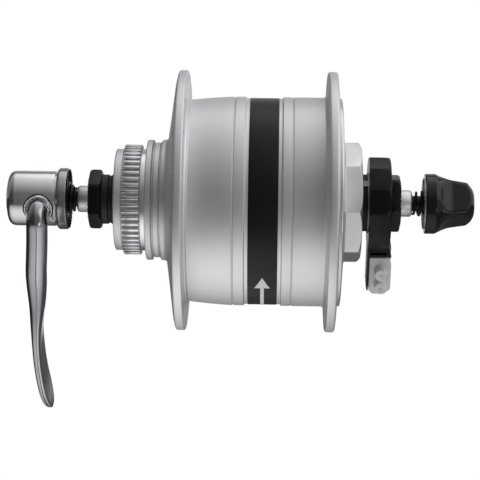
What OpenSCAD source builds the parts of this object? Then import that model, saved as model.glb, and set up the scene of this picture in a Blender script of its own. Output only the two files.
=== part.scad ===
// Bicycle hub dynamo for a disc-brake front wheel, with its quick-release skewer.
// The axle lies along X. The origin is on the axle, midway between the locknut faces.
// The disc side and the lever are at -X, the connector side is at +X, and +Z is up.

/* [Overall] */
// Distance between the outer faces of the two locknuts
over_locknut = 100; // [97:0.5:106]
// Length of the axle from tip to tip
axle_length = 108; // [105:0.5:112]
// Angle that the lever and the connector hang at, about the axle
lean = 25; // [0:1:45]

/* [Axle] */
// Diameter of the threaded length of the axle
axle_d = 9.8; // [9.4:0.1:10.4]
// Diameter of the axle tips that sit in the fork
axle_tip_d = 8.6; // [8:0.1:9]
// Diameter of the bore through the axle
axle_bore_d = 5.8; // [5.5:0.1:6.2]
// Distance across the flats of the locknuts
locknut_af = 17; // [15:0.5:18]
// Diameter that the corners of the locknuts are turned to
locknut_corner_d = 19.1; // [18.2:0.1:20]
// Thickness of the left locknut
left_locknut_t = 4; // [3:0.1:5]
// Thickness of the right locknut
right_locknut_t = 3.1; // [2.5:0.1:4]

/* [Shell] */
// Diameter of both flanges
flange_d = 84; // [82:0.5:92]
// Thickness of both flanges at the rim
flange_t = 3; // [2.4:0.1:3.6]
// Distance from the middle to the left flange
left_flange_x = 20.4; // [19.5:0.1:22]
// Distance from the middle to the right flange
right_flange_x = 28; // [27:0.1:28.5]
// Diameter of the barrel between the flanges
barrel_d = 67.4; // [66:0.2:70]
// Drop of the barrel's radius from its crown to the left flange
barrel_fall = 1.1; // [0.4:0.1:1.3]
// Wall between the barrel's crown and its bore
shell_wall = 2.7; // [2.4:0.1:3.4]
// Spoke holes in each flange
spoke_holes = 18; // [14:2:20]
// Diameter of a spoke hole
spoke_hole_d = 2.6; // [2.4:0.1:3]
// Diameter of the left flange's circle of spoke holes
left_spoke_circle_d = 78; // [75:0.2:78.6]
// Diameter of the right flange's circle of spoke holes
right_spoke_circle_d = 76.8; // [75:0.2:78.6]
// Width of the printed band round the barrel
label_w = 9.3; // [8:0.1:10.5]
// Distance from the middle to the centre of the printed band
label_x = 6.2; // [5:0.1:7]

/* [Disc mount] */
// Length of the disc mount beyond the left flange
mount_reach = 19.5; // [19:0.1:21]
// Diameter of the plain ring at the end of the disc mount
mount_d = 32.8; // [32:0.1:33.4]
// Diameter over the spline's teeth
spline_d = 35.6; // [35:0.1:36.4]
// Length of the spline's teeth
spline_w = 5.6; // [4.5:0.1:6]
// Teeth round the spline
spline_teeth = 52; // [40:1:60]
// Diameter of the disc's stop
stop_d = 38.9; // [38:0.1:40]

/* [End cap] */
// Distance across the flats of the end cap's octagon
octagon_af = 36; // [33:0.5:40]
// Height of the octagon
octagon_h = 5.4; // [4.5:0.1:5.7]

/* [Bearings] */
// Diameter of a bearing ball
ball_d = 4.76; // [4.4:0.02:5]
// Balls in each bearing
balls = 10; // [8:1:10]
// Diameter of the circle of ball centres
ball_circle_d = 17; // [16.6:0.1:17.6]
// Play between a ball and its races
race_play = 0.05; // [0.03:0.01:0.08]
// Outer diameter of a bearing cup
cup_d = 25; // [24.4:0.1:26]

/* [Generator] */
// Pole claws on each yoke
claws = 14; // [10:1:16]
// Width of the stator over its yokes
stator_w = 24; // [20:0.5:26]
// Thickness of the rotor's iron ring
iron_t = 2.3; // [1.8:0.1:3]
// Thickness of the magnets
magnet_t = 2.8; // [2.2:0.1:3.4]
// Length of the magnets and the iron ring along the axle
rotor_w = 30; // [26:0.5:34]
// Air gap between the magnets and the claws
air_gap = 0.45; // [0.35:0.05:0.7]

/* [Quick release] */
// Diameter of the skewer rod
rod_d = 5; // [4.6:0.1:5.2]
// Distance from the left axle tip to the clamping face of the lever's collar
lever_gap = 2.5; // [1.5:0.1:4]
// Distance from the right axle tip to the clamping face of the nut
nut_gap = 3.6; // [2.8:0.1:5]
// Diameter of the lever's housing
housing_d = 17.8; // [17:0.1:19]
// Length of the housing from its dome to the collar
housing_l = 17.3; // [16.6:0.1:19]
// Diameter of the collar
collar_d = 19.9; // [19:0.1:21]
// Thickness of the collar
collar_t = 3.4; // [2.9:0.1:3.6]
// Offset of the cam from the lever's pivot
cam_offset = 1; // [0.7:0.05:1.1]
// Diameter of the lever's round arm
arm_d = 6.7; // [5.5:0.1:7.2]
// Reach of the lever from its pivot to its tip
lever_reach = 69; // [62:0.5:76]
// Width of the lever's paddle
paddle_w = 14; // [11:0.5:16]
// Thickness of the lever's paddle
paddle_t = 3.2; // [2.6:0.1:4]
// Bow of the lever away from the fork
lever_bow = 2.1; // [0:0.1:2.5]
// Diameter of the nut's skirt
nut_d = 19.4; // [18.8:0.1:21]
// Length of the nut
nut_l = 16.5; // [16:0.1:18]
// Flats on the nut's grip
nut_flats = 4; // [4:1:7]
// Wire of both springs
spring_wire_d = 0.9; // [0.7:0.05:1]
// Turns of both springs
spring_turns = 3.5; // [2:0.5:3.5]

/* [Connector] */
// Distance between opposite corners of the terminal ring
terminal_ring_d = 30.2; // [28:0.1:32]
// Width of the terminal ring along the axle
terminal_ring_w = 7; // [6.6:0.1:7.4]
// Distance from the axle to the foot of the connector plug
plug_reach = 30.4; // [29:0.1:33]
// Height of the plug
plug_h = 13.2; // [12.4:0.1:14]
// Thickness of the plug
plug_t = 4; // [3.6:0.1:5]
// Diameter of the plug's two wire posts
post_d = 4; // [3.4:0.1:4.4]
// Length of the wire posts
post_l = 4.5; // [3:0.1:6]

/* [Hidden] */
$fn = 72;
ease = 0.01;
run_gap = 0.3;
fit_gap = 0.05;

// Stations along the axle
left_face_x = -over_locknut / 2;
right_face_x = over_locknut / 2;
left_nut_x = left_face_x + left_locknut_t;
right_nut_x = right_face_x - right_locknut_t;
tip_x = axle_length / 2;
terminal_x = right_nut_x - terminal_ring_w;
washer_t = 0.4;
dust_cap_r = 9.2;

// Flanges and barrel
flange_r = flange_d / 2;
left_out = -left_flange_x - flange_t / 2;
left_in = -left_flange_x + flange_t / 2;
right_in = right_flange_x - flange_t / 2;
right_out = right_flange_x + flange_t / 2;
rim_round = flange_t / 2 - 0.2;
flange_dish = 2.5;
barrel_r = barrel_d / 2;
bore_r = barrel_r - shell_wall;
root_r = barrel_r - barrel_fall;
root_round = 1.2;
recess_w = label_w + 2.2;
recess_depth = 0.5;
label_t = 0.15;
left_band_w = 4;
right_band_w = 3;
groove_w = 0.7;
groove_depth = 0.35;
recess_x0 = label_x - recess_w / 2;
recess_x1 = label_x + recess_w / 2;
crown_x = recess_x0 - left_band_w;

// Disc mount
mount_x = left_out - mount_reach;
mount_r = mount_d / 2;
spline_x = mount_x + 2.7;
stop_r = stop_d / 2;
stop_t = 2.1;
stop_groove_w = 0.45;
step_w = 2;
step_fall = 0.85;
step_x = left_out - flange_dish - 2.4;
stop_x = step_x - step_w - stop_groove_w - stop_t;
mouth_r = mount_r - 1.8;
mouth_w = 3.2;

// Bearings
ball_r = ball_d / 2;
race_r = ball_circle_d / 2;
cup_r = cup_d / 2;
cup_rim_r = race_r + ball_r + race_play;
cup_lip_r = race_r - 1.1;
cup_front = 2.5;
cup_back = 3.9;
cone_body_r = axle_d / 2 + 1.5;
cone_shoulder_r = race_r - 0.2;
cone_nose_r = race_r - ball_r - race_play;
cone_nose_w = 1.2;
seal_t = 1.7;
seal_lip_r = cone_shoulder_r + run_gap;
cage_in_r = cone_shoulder_r + 0.6;
cage_out_r = cup_rim_r - 0.6;
web_x = left_out + 3.8;
left_seat_x = mount_x + mouth_w;
left_ball_x = left_seat_x + seal_t + cup_front + 0.5;
left_seat_end = left_ball_x + cup_back;
shoulder_bore_r = cup_r - 2.3;

// End cap
cap_rim_t = 1.5;
cap_rim_r = barrel_r - 0.1;
cap_round = 0.6;
cap_slope_w = 1.1;
octagon_x = right_out + cap_rim_t + cap_slope_w;
cap_face_x = octagon_x + octagon_h;
cap_seat_x = cap_face_x - 0.2;
right_ball_x = cap_seat_x - seal_t - cup_front - 0.5;
right_seat_end = right_ball_x - cup_back;
spigot_l = 6;
spigot_x = right_out - spigot_l;
octagon_r = octagon_af / 2 / cos(22.5);
gasket_r = 0.7;
gasket_x = right_out - spigot_l / 2;
cap_recess_wall = 2.2;
octagon_chamfer_w = 1.9;
octagon_chamfer_fall = 2.3;

// Generator, centred between the flanges
generator_x = (right_flange_x - left_flange_x) / 2;
stator_x0 = generator_x - stator_w / 2;
stator_x1 = generator_x + stator_w / 2;
iron_in_r = bore_r - iron_t;
magnet_in_r = iron_in_r - magnet_t;
stator_r = magnet_in_r - air_gap;
plate_t = 2.5;
claw_t = 2.2;
claw_end_gap = 1.2;
core_r = axle_d / 2 + 3.5;
bobbin_t = 1;
bobbin_r = stator_r - claw_t - 0.4;
stator_nut_t = 3.2;
stator_nut_af = 17;
magnet_count = 4;
magnet_split = 0.5;
groove_r = axle_bore_d / 2 + 0.8;
lead_r = min(0.6, (axle_d / 2 - groove_r) / 2 - 0.02);
lead_line_r = groove_r + lead_r;
lead_hole_r = lead_r + 0.2;

// Quick release
rod_r = rod_d / 2;
collar_face_x = -tip_x - lever_gap;
collar_x = collar_face_x - collar_t;
housing_r = housing_d / 2;
housing_end_x = collar_x - housing_l;
dome_round = 4.2;
dome_rise = 0.8;
cavity_r = housing_r - 1.85;
cam_r = 2.5;
cam_hole_gap = 0.5;
eye_wall = 1.3;
eye_half_w = cam_r + cam_hole_gap + eye_wall;
eye_half_h = cam_r + cam_offset + 0.3 + eye_wall + 0.2;
eye_half_t = 2.6;
eye_clear = 0.7;
pivot_x = collar_x - eye_half_w - cam_offset - eye_clear;
cavity_x = pivot_x - eye_half_w - cam_offset - 0.6;
journal_r = arm_d / 2 + 1.15;
far_journal_r = cam_r - cam_offset;
journal_out = housing_r + 0.15;
web_t = 0.8;
hollow_r = 6.9;
collar_bore_r = rod_r + 0.4;
serrations = 36;
serration_depth = 0.35;
nut_face_x = tip_x + nut_gap;
nut_end_x = nut_face_x + nut_l;
nut_r = nut_d / 2;
insert_flange_r = nut_r - 1.5;
insert_flange_t = 1.8;
insert_body_r = 5.9;
insert_l = 7.4;
insert_end_x = nut_face_x + insert_l;
nut_hollow_r = 5.3;
nut_hollow_l = 3.9;
rod_thread_l = 10.9;
rod_end_x = nut_face_x + rod_thread_l;
rod_pocket_l = 14;
rod_pocket_x = nut_face_x + rod_pocket_l;
grip_r = 7.3;

// Lever
bend_r = arm_d / 2 + 0.15;
arm_y = -(journal_out + 0.2 + bend_r);
bow_zero = 0.935 * lever_reach;
flat_start = 0.3 * lever_reach;
flat_end = 0.58 * lever_reach;
tip_start = 0.86 * lever_reach;

// Springs
left_spring_x = tip_x + fit_gap;
spring_small_r = rod_r + spring_wire_d / 2 + 0.4;
left_spring_big_r = hollow_r - spring_wire_d / 2 - 0.25;
right_spring_big_r = nut_hollow_r - spring_wire_d / 2 - 0.25;
left_spring_end = -collar_x - web_t - fit_gap;
right_spring_end = nut_face_x + nut_hollow_l - fit_gap;

// Connector
terminal_ring_r = terminal_ring_d / 2;
housing_wall = 1;
plug_gap = 0.2;
plug_top = plug_reach - plug_h;
plug_back_y = -1;
plug_front_y = plug_back_y - plug_t;
plug_x0 = terminal_x + housing_wall + plug_gap - 0.2;
plug_overhang = 1.1;
plug_x1 = terminal_x + terminal_ring_w + plug_overhang;
plug_chamfer = 2;
plug_heel = 1.2;
foot_cut = 2;
arm_half_y = 4.7;
post_x = terminal_x + 4.6;
post_pitch = post_d + 0.75;
post_z = -(plug_reach - post_d - 0.05);
post_hole_r = 0.8;
contact_w = 1.5;
contact_t = 0.8;
contact_l = 8;
contact_pitch = 2.3;
contact_y = (plug_back_y + plug_front_y) / 2;
contact_gap = 0.25;
contact_x = plug_x0 + 0.5 + contact_gap + (contact_w + contact_pitch) / 2;

// Points on an arc in the (x, radius) plane
function arc(cx, cr, radius, from, to, steps = 6) =
    [for (i = [0:steps]) let (a = from + (to - from) * i / steps)
        [cx + radius * cos(a), cr + radius * sin(a)]];

// Smooth step from 0 at low to 1 at high
function ease_in(value, low, high) =
    let (t = min(1, max(0, (value - low) / (high - low)))) t * t * (3 - 2 * t);

// Solid of revolution about X from points given as (x, radius)
module turned(points) {
    rotate([0, 90, 0]) rotate_extrude() polygon([for (p = points) [p[1], p[0]]]);
}

// Straight tube about X
module tube(x0, x1, inner, outer) {
    turned([[x0, inner], [x1, inner], [x1, outer], [x0, outer]]);
}

// Solid bar along X
module bar(x0, x1, radius) {
    translate([x0, 0, 0]) rotate([0, 90, 0]) cylinder(r = radius, h = x1 - x0);
}

// Regular prism about X by its distance across flats, with a corner turn degrees above -Y
module prism(x0, x1, sides, flats, turn) {
    rotate([-90 - turn, 0, 0]) translate([x0, 0, 0]) rotate([0, 90, 0])
        cylinder(r = flats / 2 / cos(180 / sides), h = x1 - x0, $fn = sides);
}

// Ring of revolution with a round section
module hoop(x, radius, section) {
    rotate([0, 90, 0]) rotate_extrude() translate([radius, x]) circle(r = section);
}

// What leans with the lever and the connector
module leaning() {
    rotate([lean, 0, 0]) children();
}

// Copies round the axle
module around(count, start = 0) {
    for (i = [0:count - 1]) rotate([start + 360 * i / count, 0, 0]) children();
}

// Axle: hollow, threaded length and plain tips, with a groove for the coil's lead
module axle() {
    chamfer = 0.6;
    color("gainsboro") difference() {
        turned([
            [-tip_x, axle_bore_d / 2], [tip_x, axle_bore_d / 2],
            [tip_x, axle_tip_d / 2 - chamfer], [tip_x - chamfer, axle_tip_d / 2],
            [right_face_x, axle_tip_d / 2], [right_face_x, axle_d / 2],
            [left_face_x, axle_d / 2], [left_face_x, axle_tip_d / 2],
            [-tip_x + chamfer, axle_tip_d / 2], [-tip_x, axle_tip_d / 2 - chamfer]
        ]);
        leaning() translate([generator_x - lead_hole_r, -lead_hole_r, -axle_d])
            cube([terminal_x + terminal_ring_w / 2 + 2 * lead_hole_r - generator_x, 2 * lead_hole_r,
                axle_d - groove_r]);
    }
}

// Hexagon nut turned down at its corners
module locknut(x0, x1, turn) {
    chamfer = 0.7;
    corner_r = locknut_corner_d / 2;
    intersection() {
        prism(x0, x1, 6, locknut_af, turn);
        turned([
            [x0, axle_d / 2], [x1, axle_d / 2], [x1, corner_r - chamfer], [x1 - chamfer, corner_r],
            [x0 + chamfer, corner_r], [x0, corner_r - chamfer]
        ]);
    }
}

module left_locknut() {
    color("#1c1c1e") locknut(left_face_x, left_nut_x, -35);
}

module right_locknut() {
    color("#1c1c1e") locknut(right_nut_x, right_face_x, 47);
}

// Space that the balls run in
module race_cut(x) {
    hoop(x, race_r, ball_r + race_play);
}

// Bearing cone: nut_x is where it meets the outer stack, and side is -1 on the left and 1 on the right
module cone(ball_x, nut_x, side) {
    shoulder_x = ball_x + side * (ball_r + 0.05);
    shoulder_end = ball_x + side * (cup_front + 0.5 + seal_t + 0.3);
    nose_x = ball_x - side * cone_nose_w;
    difference() {
        turned([
            [nose_x, axle_d / 2], [nut_x, axle_d / 2], [nut_x, cone_body_r], [shoulder_end, cone_body_r],
            [shoulder_end, cone_shoulder_r], [ball_x, cone_shoulder_r], [ball_x, cone_nose_r],
            [nose_x, cone_nose_r]
        ]);
        race_cut(ball_x);
    }
}

module left_cone() {
    color("silver") cone(left_ball_x, left_nut_x, -1);
}

module right_cone() {
    color("silver") cone(right_ball_x, terminal_x - washer_t, 1);
}

// Rubber dust cap on the left cone, with a lip that flares into the disc mount
module left_dust_cap() {
    cap_r = 8;
    lip_r = 8.7;
    lip_x = mount_x + 0.4;
    lip_t = 0.6;
    neck_r = cap_r - 0.25;
    neck_x = lip_x - lip_t - 1.4;
    neck_w = 0.4;
    shoulder_w = 0.2;
    color("#232325") turned([
        [left_nut_x, cone_body_r], [lip_x, cone_body_r], [lip_x, lip_r], [lip_x - lip_t, lip_r],
        [neck_x, neck_r], [neck_x - neck_w, neck_r],
        [neck_x - neck_w - shoulder_w, cap_r], [left_nut_x, cap_r]
    ]);
}

// Dust cap between the end cap and the connector
module right_dust_cap() {
    color("#232325") tube(cap_face_x + run_gap, terminal_x - washer_t, cone_body_r, dust_cap_r);
}

// Washer with a tab bent along the dust cap
module tab_washer() {
    tab_w = 2.2;
    tab_t = 0.5;
    tab_r = dust_cap_r + fit_gap;
    tab_turn = 52;
    color("lightgray") {
        tube(terminal_x - washer_t, terminal_x, axle_d / 2, tab_r + tab_t);
        rotate([tab_turn, 0, 0]) translate([cap_face_x + 2 * run_gap, -tab_w / 2, tab_r])
            cube([terminal_x - cap_face_x - 2 * run_gap, tab_w, tab_t]);
    }
}

// Iron core that the coil sits on
module stator_core() {
    color("dimgray") difference() {
        tube(stator_x0 + plate_t, stator_x1 - plate_t, axle_d / 2, core_r);
        lead_hole(core_r + bobbin_t);
    }
}

// Radial hole for the coil's lead, in the leaning direction
module lead_hole(reach) {
    leaning() translate([generator_x, 0, -reach - ease]) cylinder(r = lead_hole_r, h = reach + ease);
}

module coil_bobbin() {
    x0 = stator_x0 + plate_t;
    x1 = stator_x1 - plate_t;
    hub_r = core_r + bobbin_t;
    color("ivory") difference() {
        turned([
            [x0, core_r], [x1, core_r], [x1, bobbin_r], [x1 - bobbin_t, bobbin_r],
            [x1 - bobbin_t, hub_r], [x0 + bobbin_t, hub_r], [x0 + bobbin_t, bobbin_r], [x0, bobbin_r]
        ]);
        lead_hole(hub_r);
    }
}

module coil_winding() {
    slack = 0.6;
    color("chocolate") tube(stator_x0 + plate_t + bobbin_t, stator_x1 - plate_t - bobbin_t,
        core_r + bobbin_t, bobbin_r - slack);
}

// Pole yoke: a plate at plate_x with claws that reach over the coil, towards side
module claw_yoke(plate_x, side, start) {
    reach = stator_w - 2 * plate_t - claw_end_gap;
    root_w = 2 * stator_r * sin(90 / claws) - 0.8;
    tip_w = root_w * 0.62;
    far_x = plate_x - side * plate_t;
    claw_x = plate_x + side * reach;
    tube(min(plate_x, far_x), max(plate_x, far_x), axle_d / 2, stator_r - claw_t / 3);
    around(claws, start) intersection() {
        tube(min(far_x, claw_x) + ease, max(far_x, claw_x) - ease, stator_r - claw_t, stator_r);
        linear_extrude(stator_r + 1) polygon([
            [plate_x - side * plate_t / 2, -root_w / 2], [claw_x, -tip_w / 2],
            [claw_x, tip_w / 2], [plate_x - side * plate_t / 2, root_w / 2]
        ]);
    }
}

module left_claw_yoke() {
    color("gray") claw_yoke(stator_x0 + plate_t, 1, 0);
}

module right_claw_yoke() {
    color("gray") claw_yoke(stator_x1 - plate_t, -1, 180 / claws);
}

module stator_nuts() {
    color("silver") for (x = [stator_x0 - stator_nut_t, stator_x1]) difference() {
        prism(x, x + stator_nut_t, 6, stator_nut_af, 0);
        bar(x - 1, x + stator_nut_t + 1, axle_d / 2);
    }
}

// Lead from the coil, along the axle's groove to the connector
module lead_wire() {
    end_x = terminal_x + terminal_ring_w / 2;
    color("peru") leaning() {
        translate([generator_x, 0, -core_r - bobbin_t])
            cylinder(r = lead_r, h = core_r + bobbin_t - lead_line_r);
        translate([0, 0, -lead_line_r]) bar(generator_x, end_x, lead_r);
        translate([end_x, 0, -plug_top + 3]) cylinder(r = lead_r, h = plug_top - 3 - lead_line_r);
        for (x = [generator_x, end_x]) translate([x, 0, -lead_line_r]) sphere(r = lead_r);
    }
}

// Block in the connector's leaning frame, from its two opposite corners
module block(low, high) {
    translate(low) cube(high - low);
}

// Connector housing: a twelve-sided ring on the axle with an arm that holds the plug
module terminal_housing() {
    x1 = terminal_x + terminal_ring_w;
    wall_x = terminal_x + 0.2;
    foot = plug_reach + 0.6;
    color("#18181a") difference() {
        union() {
            intersection() {
                prism(terminal_x, x1, 12, terminal_ring_d * cos(15), 15);
                turned([
                    [terminal_x, 0], [x1, 0], [x1, terminal_ring_r - 0.7], [x1 - 0.8, terminal_ring_r + 0.1],
                    [terminal_x + 0.6, terminal_ring_r + 0.1], [terminal_x, terminal_ring_r - 0.5]
                ]);
            }
            leaning() {
                translate([0, arm_half_y, 0]) rotate([90, 0, 0]) linear_extrude(2 * arm_half_y) polygon([
                    [terminal_x + 0.2, -axle_d], [x1 - 0.5, -axle_d], [x1 + 0.2, -terminal_ring_r + 2],
                    [plug_x1, -plug_top], [terminal_x + 0.2, -plug_top]
                ]);
                translate([0, 0, -foot]) linear_extrude(foot - plug_top + 2) polygon([
                    [wall_x, plug_front_y + 0.6], [plug_x0 - plug_gap, plug_front_y + 0.6],
                    [plug_x0 - plug_gap, plug_back_y + plug_gap], [plug_x1, plug_back_y + plug_gap],
                    [plug_x1, arm_half_y + 0.2], [wall_x, arm_half_y + 0.2]
                ]);
            }
        }
        bar(terminal_x - 1, x1 + 1, axle_d / 2);
        leaning() {
            translate([terminal_x + terminal_ring_w / 2, 0, -plug_top + 3])
                cylinder(r = lead_hole_r, h = plug_top);
            contact_pair(0, plug_top - 2.5);
            translate([wall_x, arm_half_y + 1, -foot]) rotate([90, 0, 0]) linear_extrude(3 * arm_half_y)
                polygon([[-1, -1], [foot_cut + 1, -1], [-1, foot_cut + 1]]);
        }
    }
}

// The two contact blades, or the room for them when grown
module contact_pair(grow, top) {
    foot_z = -(plug_top + contact_l + grow);
    for (side = [-1, 1]) translate([contact_x + side * contact_pitch / 2, contact_y, foot_z])
        translate([-contact_w / 2 - grow, -contact_t / 2 - grow, 0])
            cube([contact_w + 2 * grow, contact_t + 2 * grow, contact_l + grow + plug_top - top]);
}

module terminal_contacts() {
    color("gold") leaning() contact_pair(0, plug_top - 2.5);
}

// Plug with two wire posts, which pulls off downwards
module connector_plug() {
    post_zs = [post_z + post_pitch, post_z];
    color("#b4b6b8") leaning() difference() {
        union() {
            translate([0, plug_back_y, 0]) rotate([90, 0, 0]) linear_extrude(plug_t) polygon([
                [plug_x0, -plug_reach + plug_heel], [plug_x0 + plug_heel, -plug_reach],
                [plug_x1 - plug_chamfer, -plug_reach],
                [plug_x1, -plug_reach + plug_chamfer], [plug_x1, -plug_top - plug_gap - plug_chamfer],
                [plug_x1 - plug_chamfer, -plug_top - plug_gap], [plug_x0, -plug_top - plug_gap]
            ]);
            for (z = post_zs) translate([post_x, plug_front_y + ease, z]) rotate([90, 0, 0])
                cylinder(r = post_d / 2, h = post_l + ease);
        }
        for (z = post_zs) translate([post_x, plug_front_y - post_l + 3, z]) rotate([90, 0, 0])
            cylinder(r = post_hole_r, h = 4);
        contact_pair(contact_gap, plug_top - 1);
    }
}

// Outline of the shell from the end of the disc mount to the right flange, as (x, radius)
function shell_outside() = concat(
    [[mount_x, mount_r - 0.5], [mount_x + 0.5, mount_r], [stop_x, mount_r], [stop_x, stop_r - 0.3]],
    [[stop_x + 0.3, stop_r], [stop_x + stop_t, stop_r], [stop_x + stop_t, stop_r - step_fall - 0.4]],
    [[step_x - step_w, stop_r - step_fall - 0.4], [step_x - step_w, stop_r - step_fall]],
    [[step_x, stop_r - step_fall], [step_x, stop_r]],
    arc(left_out - flange_dish - 1.8, stop_r + 1.8, 1.8, -90, 0, 4),
    arc(left_out + rim_round, flange_r - rim_round, rim_round, 170, 90),
    arc(left_in - rim_round, flange_r - rim_round, rim_round, 90, 0),
    arc(left_in + root_round, root_r + root_round, root_round, 180, 270, 4),
    [for (i = [1:6]) let (t = i / 6)
        [left_in + root_round + (crown_x - left_in - root_round) * t, root_r + barrel_fall * t * (2 - t)]],
    band_groove(crown_x),
    [[recess_x0 - 0.3, barrel_r], [recess_x0, barrel_r - recess_depth]],
    [[recess_x1, barrel_r - recess_depth], [recess_x1 + 0.3, barrel_r]],
    band_groove(recess_x1 + right_band_w),
    arc(right_in - root_round, barrel_r + root_round, root_round, -90, 0, 4),
    arc(right_in + rim_round, flange_r - rim_round, rim_round, 180, 90),
    arc(right_out - rim_round, flange_r - rim_round, rim_round, 90, 0)
);

// Turned groove across the barrel at x
function band_groove(x) = [
    [x, barrel_r], [x + groove_w / 2, barrel_r - groove_depth], [x + groove_w, barrel_r]
];

// Bore of the shell from the right flange back to the disc mount
function shell_inside() = [
    [right_out, bore_r], [web_x, bore_r], [web_x, shoulder_bore_r], [left_seat_end, shoulder_bore_r],
    [left_seat_end, cup_r], [left_seat_x, cup_r], [left_seat_x, mouth_r], [mount_x, mouth_r]
];

// Tooth outline of the disc spline, a flat-topped tooth for each pitch
module spline() {
    pitch = 360 / spline_teeth;
    tip_r = spline_d / 2;
    root = mount_r + 0.3;
    shares = [[0.08, root], [0.3, tip_r], [0.7, tip_r], [0.92, root]];
    translate([spline_x, 0, 0]) rotate([0, 90, 0]) linear_extrude(spline_w) difference() {
        polygon([for (i = [0:spline_teeth - 1], s = shares)
            [s[1] * cos((i + s[0]) * pitch), s[1] * sin((i + s[0]) * pitch)]]);
        circle(r = mount_r - 0.5);
    }
}

module hub_shell() {
    color("#b9bbbd") difference() {
        union() {
            turned(concat(shell_outside(), shell_inside()));
            spline();
        }
        spoke_drill(-left_flange_x, left_spoke_circle_d, 0);
        spoke_drill(right_flange_x, right_spoke_circle_d, 180 / spoke_holes);
    }
}

// Ring of spoke holes through one flange
module spoke_drill(x, circle_d, start) {
    around(spoke_holes, start) translate([0, 0, circle_d / 2])
        bar(x - flange_t - flange_dish, x + flange_t + flange_dish, spoke_hole_d / 2);
}

module end_cap() {
    face_x = right_out + cap_rim_t;
    recess_r = bore_r - cap_recess_wall;
    color("#c4c6c8") difference() {
        union() {
            turned(concat(
                [[spigot_x, right_bore_r()], [spigot_x, bore_r], [right_out, bore_r], [right_out, cap_rim_r]],
                arc(face_x - cap_round, cap_rim_r - cap_round, cap_round, 90, 0, 4),
                [[octagon_x, octagon_r + 0.8], [octagon_x, right_bore_r()]]
            ));
            intersection() {
                prism(octagon_x - 1, cap_face_x, 8, octagon_af, 35);
                turned([
                    [octagon_x - 1, cup_r - 1], [cap_face_x, cup_r - 1],
                    [cap_face_x, octagon_r - octagon_chamfer_fall],
                    [cap_face_x - octagon_chamfer_w, octagon_r + 0.2], [octagon_x - 1, octagon_r + 0.2]
                ]);
            }
        }
        tube(right_seat_end, cap_face_x + 1, 0, cup_r);
        bar(spigot_x - 1, cap_face_x, shoulder_bore_r);
        tube(spigot_x - 1, right_out - 1.2, cup_r + cap_recess_wall, recess_r);
        hoop(gasket_x, bore_r, gasket_r);
    }
}

// Radius of the end cap's through bore
function right_bore_r() = shoulder_bore_r - 1;

module label_band() {
    color("#1b1b1c") tube(label_x - label_w / 2, label_x + label_w / 2,
        barrel_r - recess_depth, barrel_r - recess_depth + label_t);
}

module back_iron_ring() {
    color("slategray") tube(generator_x - rotor_w / 2, generator_x + rotor_w / 2, iron_in_r, bore_r);
}

// Arc magnets with a narrow slit between neighbours
module rotor_magnets() {
    color("#3a3a3d") difference() {
        tube(generator_x - rotor_w / 2, generator_x + rotor_w / 2, magnet_in_r, iron_in_r);
        around(magnet_count) translate([generator_x - rotor_w, -magnet_split / 2, magnet_in_r - 1])
            cube([2 * rotor_w, magnet_split, magnet_t + 2]);
    }
}

// Bearing cup, open towards side
module cup(ball_x, side) {
    front = ball_x + side * cup_front;
    back = ball_x - side * cup_back;
    color("silver") difference() {
        turned([
            [front, cup_rim_r], [ball_x, cup_rim_r], [ball_x, cup_lip_r], [back, cup_lip_r],
            [back, cup_r], [front, cup_r]
        ]);
        race_cut(ball_x);
    }
}

module left_cup() {
    cup(left_ball_x, -1);
}

module right_cup() {
    cup(right_ball_x, 1);
}

module left_seal() {
    color("#2a2a2c") tube(left_seat_x, left_seat_x + seal_t, seal_lip_r, cup_r);
}

module right_seal() {
    color("#2a2a2c") tube(cap_seat_x - seal_t, cap_seat_x, seal_lip_r, cup_r);
}

module cap_gasket() {
    color("#2a2a2c") difference() {
        hoop(gasket_x, bore_r, gasket_r);
        tube(gasket_x - 1, gasket_x + 1, bore_r, bore_r + 2);
    }
}

module ball_ring(ball_x, radius) {
    around(balls) translate([ball_x, 0, race_r]) sphere(r = radius);
}

// Crown cage that spaces the balls, open towards the balls
module ball_cage(ball_x, side) {
    x0 = ball_x + side * 1;
    x1 = ball_x + side * (cup_front + 0.4);
    difference() {
        tube(min(x0, x1), max(x0, x1), cage_in_r, cage_out_r);
        ball_ring(ball_x, ball_r + 0.12);
    }
}

module left_balls() {
    color("white") ball_ring(left_ball_x, ball_r);
}

module left_ball_cage() {
    color("goldenrod") ball_cage(left_ball_x, -1);
}

module right_balls() {
    color("white") ball_ring(right_ball_x, ball_r);
}

module right_ball_cage() {
    color("goldenrod") ball_cage(right_ball_x, 1);
}

// Cylinder across the lever's housing, from y0 to y1 in the leaning frame, centred at x
module cross_bar(x, y0, y1, radius) {
    leaning() translate([x, y1, 0]) rotate([90, 0, 0]) cylinder(r = radius, h = y1 - y0);
}

// Domed housing of the quick release, hollow for the skewer's eye
module lever_housing() {
    color("#9fa1a4") difference() {
        turned(concat(
            [[housing_end_x, 0], [housing_end_x + 0.1, 2.2]],
            arc(housing_end_x + dome_rise + dome_round, housing_r - dome_round, dome_round, 165, 90),
            [[collar_x, housing_r], [collar_x, 0]]
        ));
        bar(cavity_x, collar_x + 1, cavity_r);
        cross_bar(pivot_x, -housing_d, 0, journal_r + fit_gap);
        cross_bar(pivot_x, 0, housing_r - 0.55, far_journal_r + fit_gap);
    }
}

// Radial V cuts in a clamping face at x, cut towards side
module face_serration(x, side, inner, outer) {
    half = 0.45;
    around(serrations) translate([x, 0, inner]) linear_extrude(outer - inner)
        polygon([[side * -serration_depth, 0], [side * 0.3, -half], [side * 0.3, half]]);
}

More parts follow.
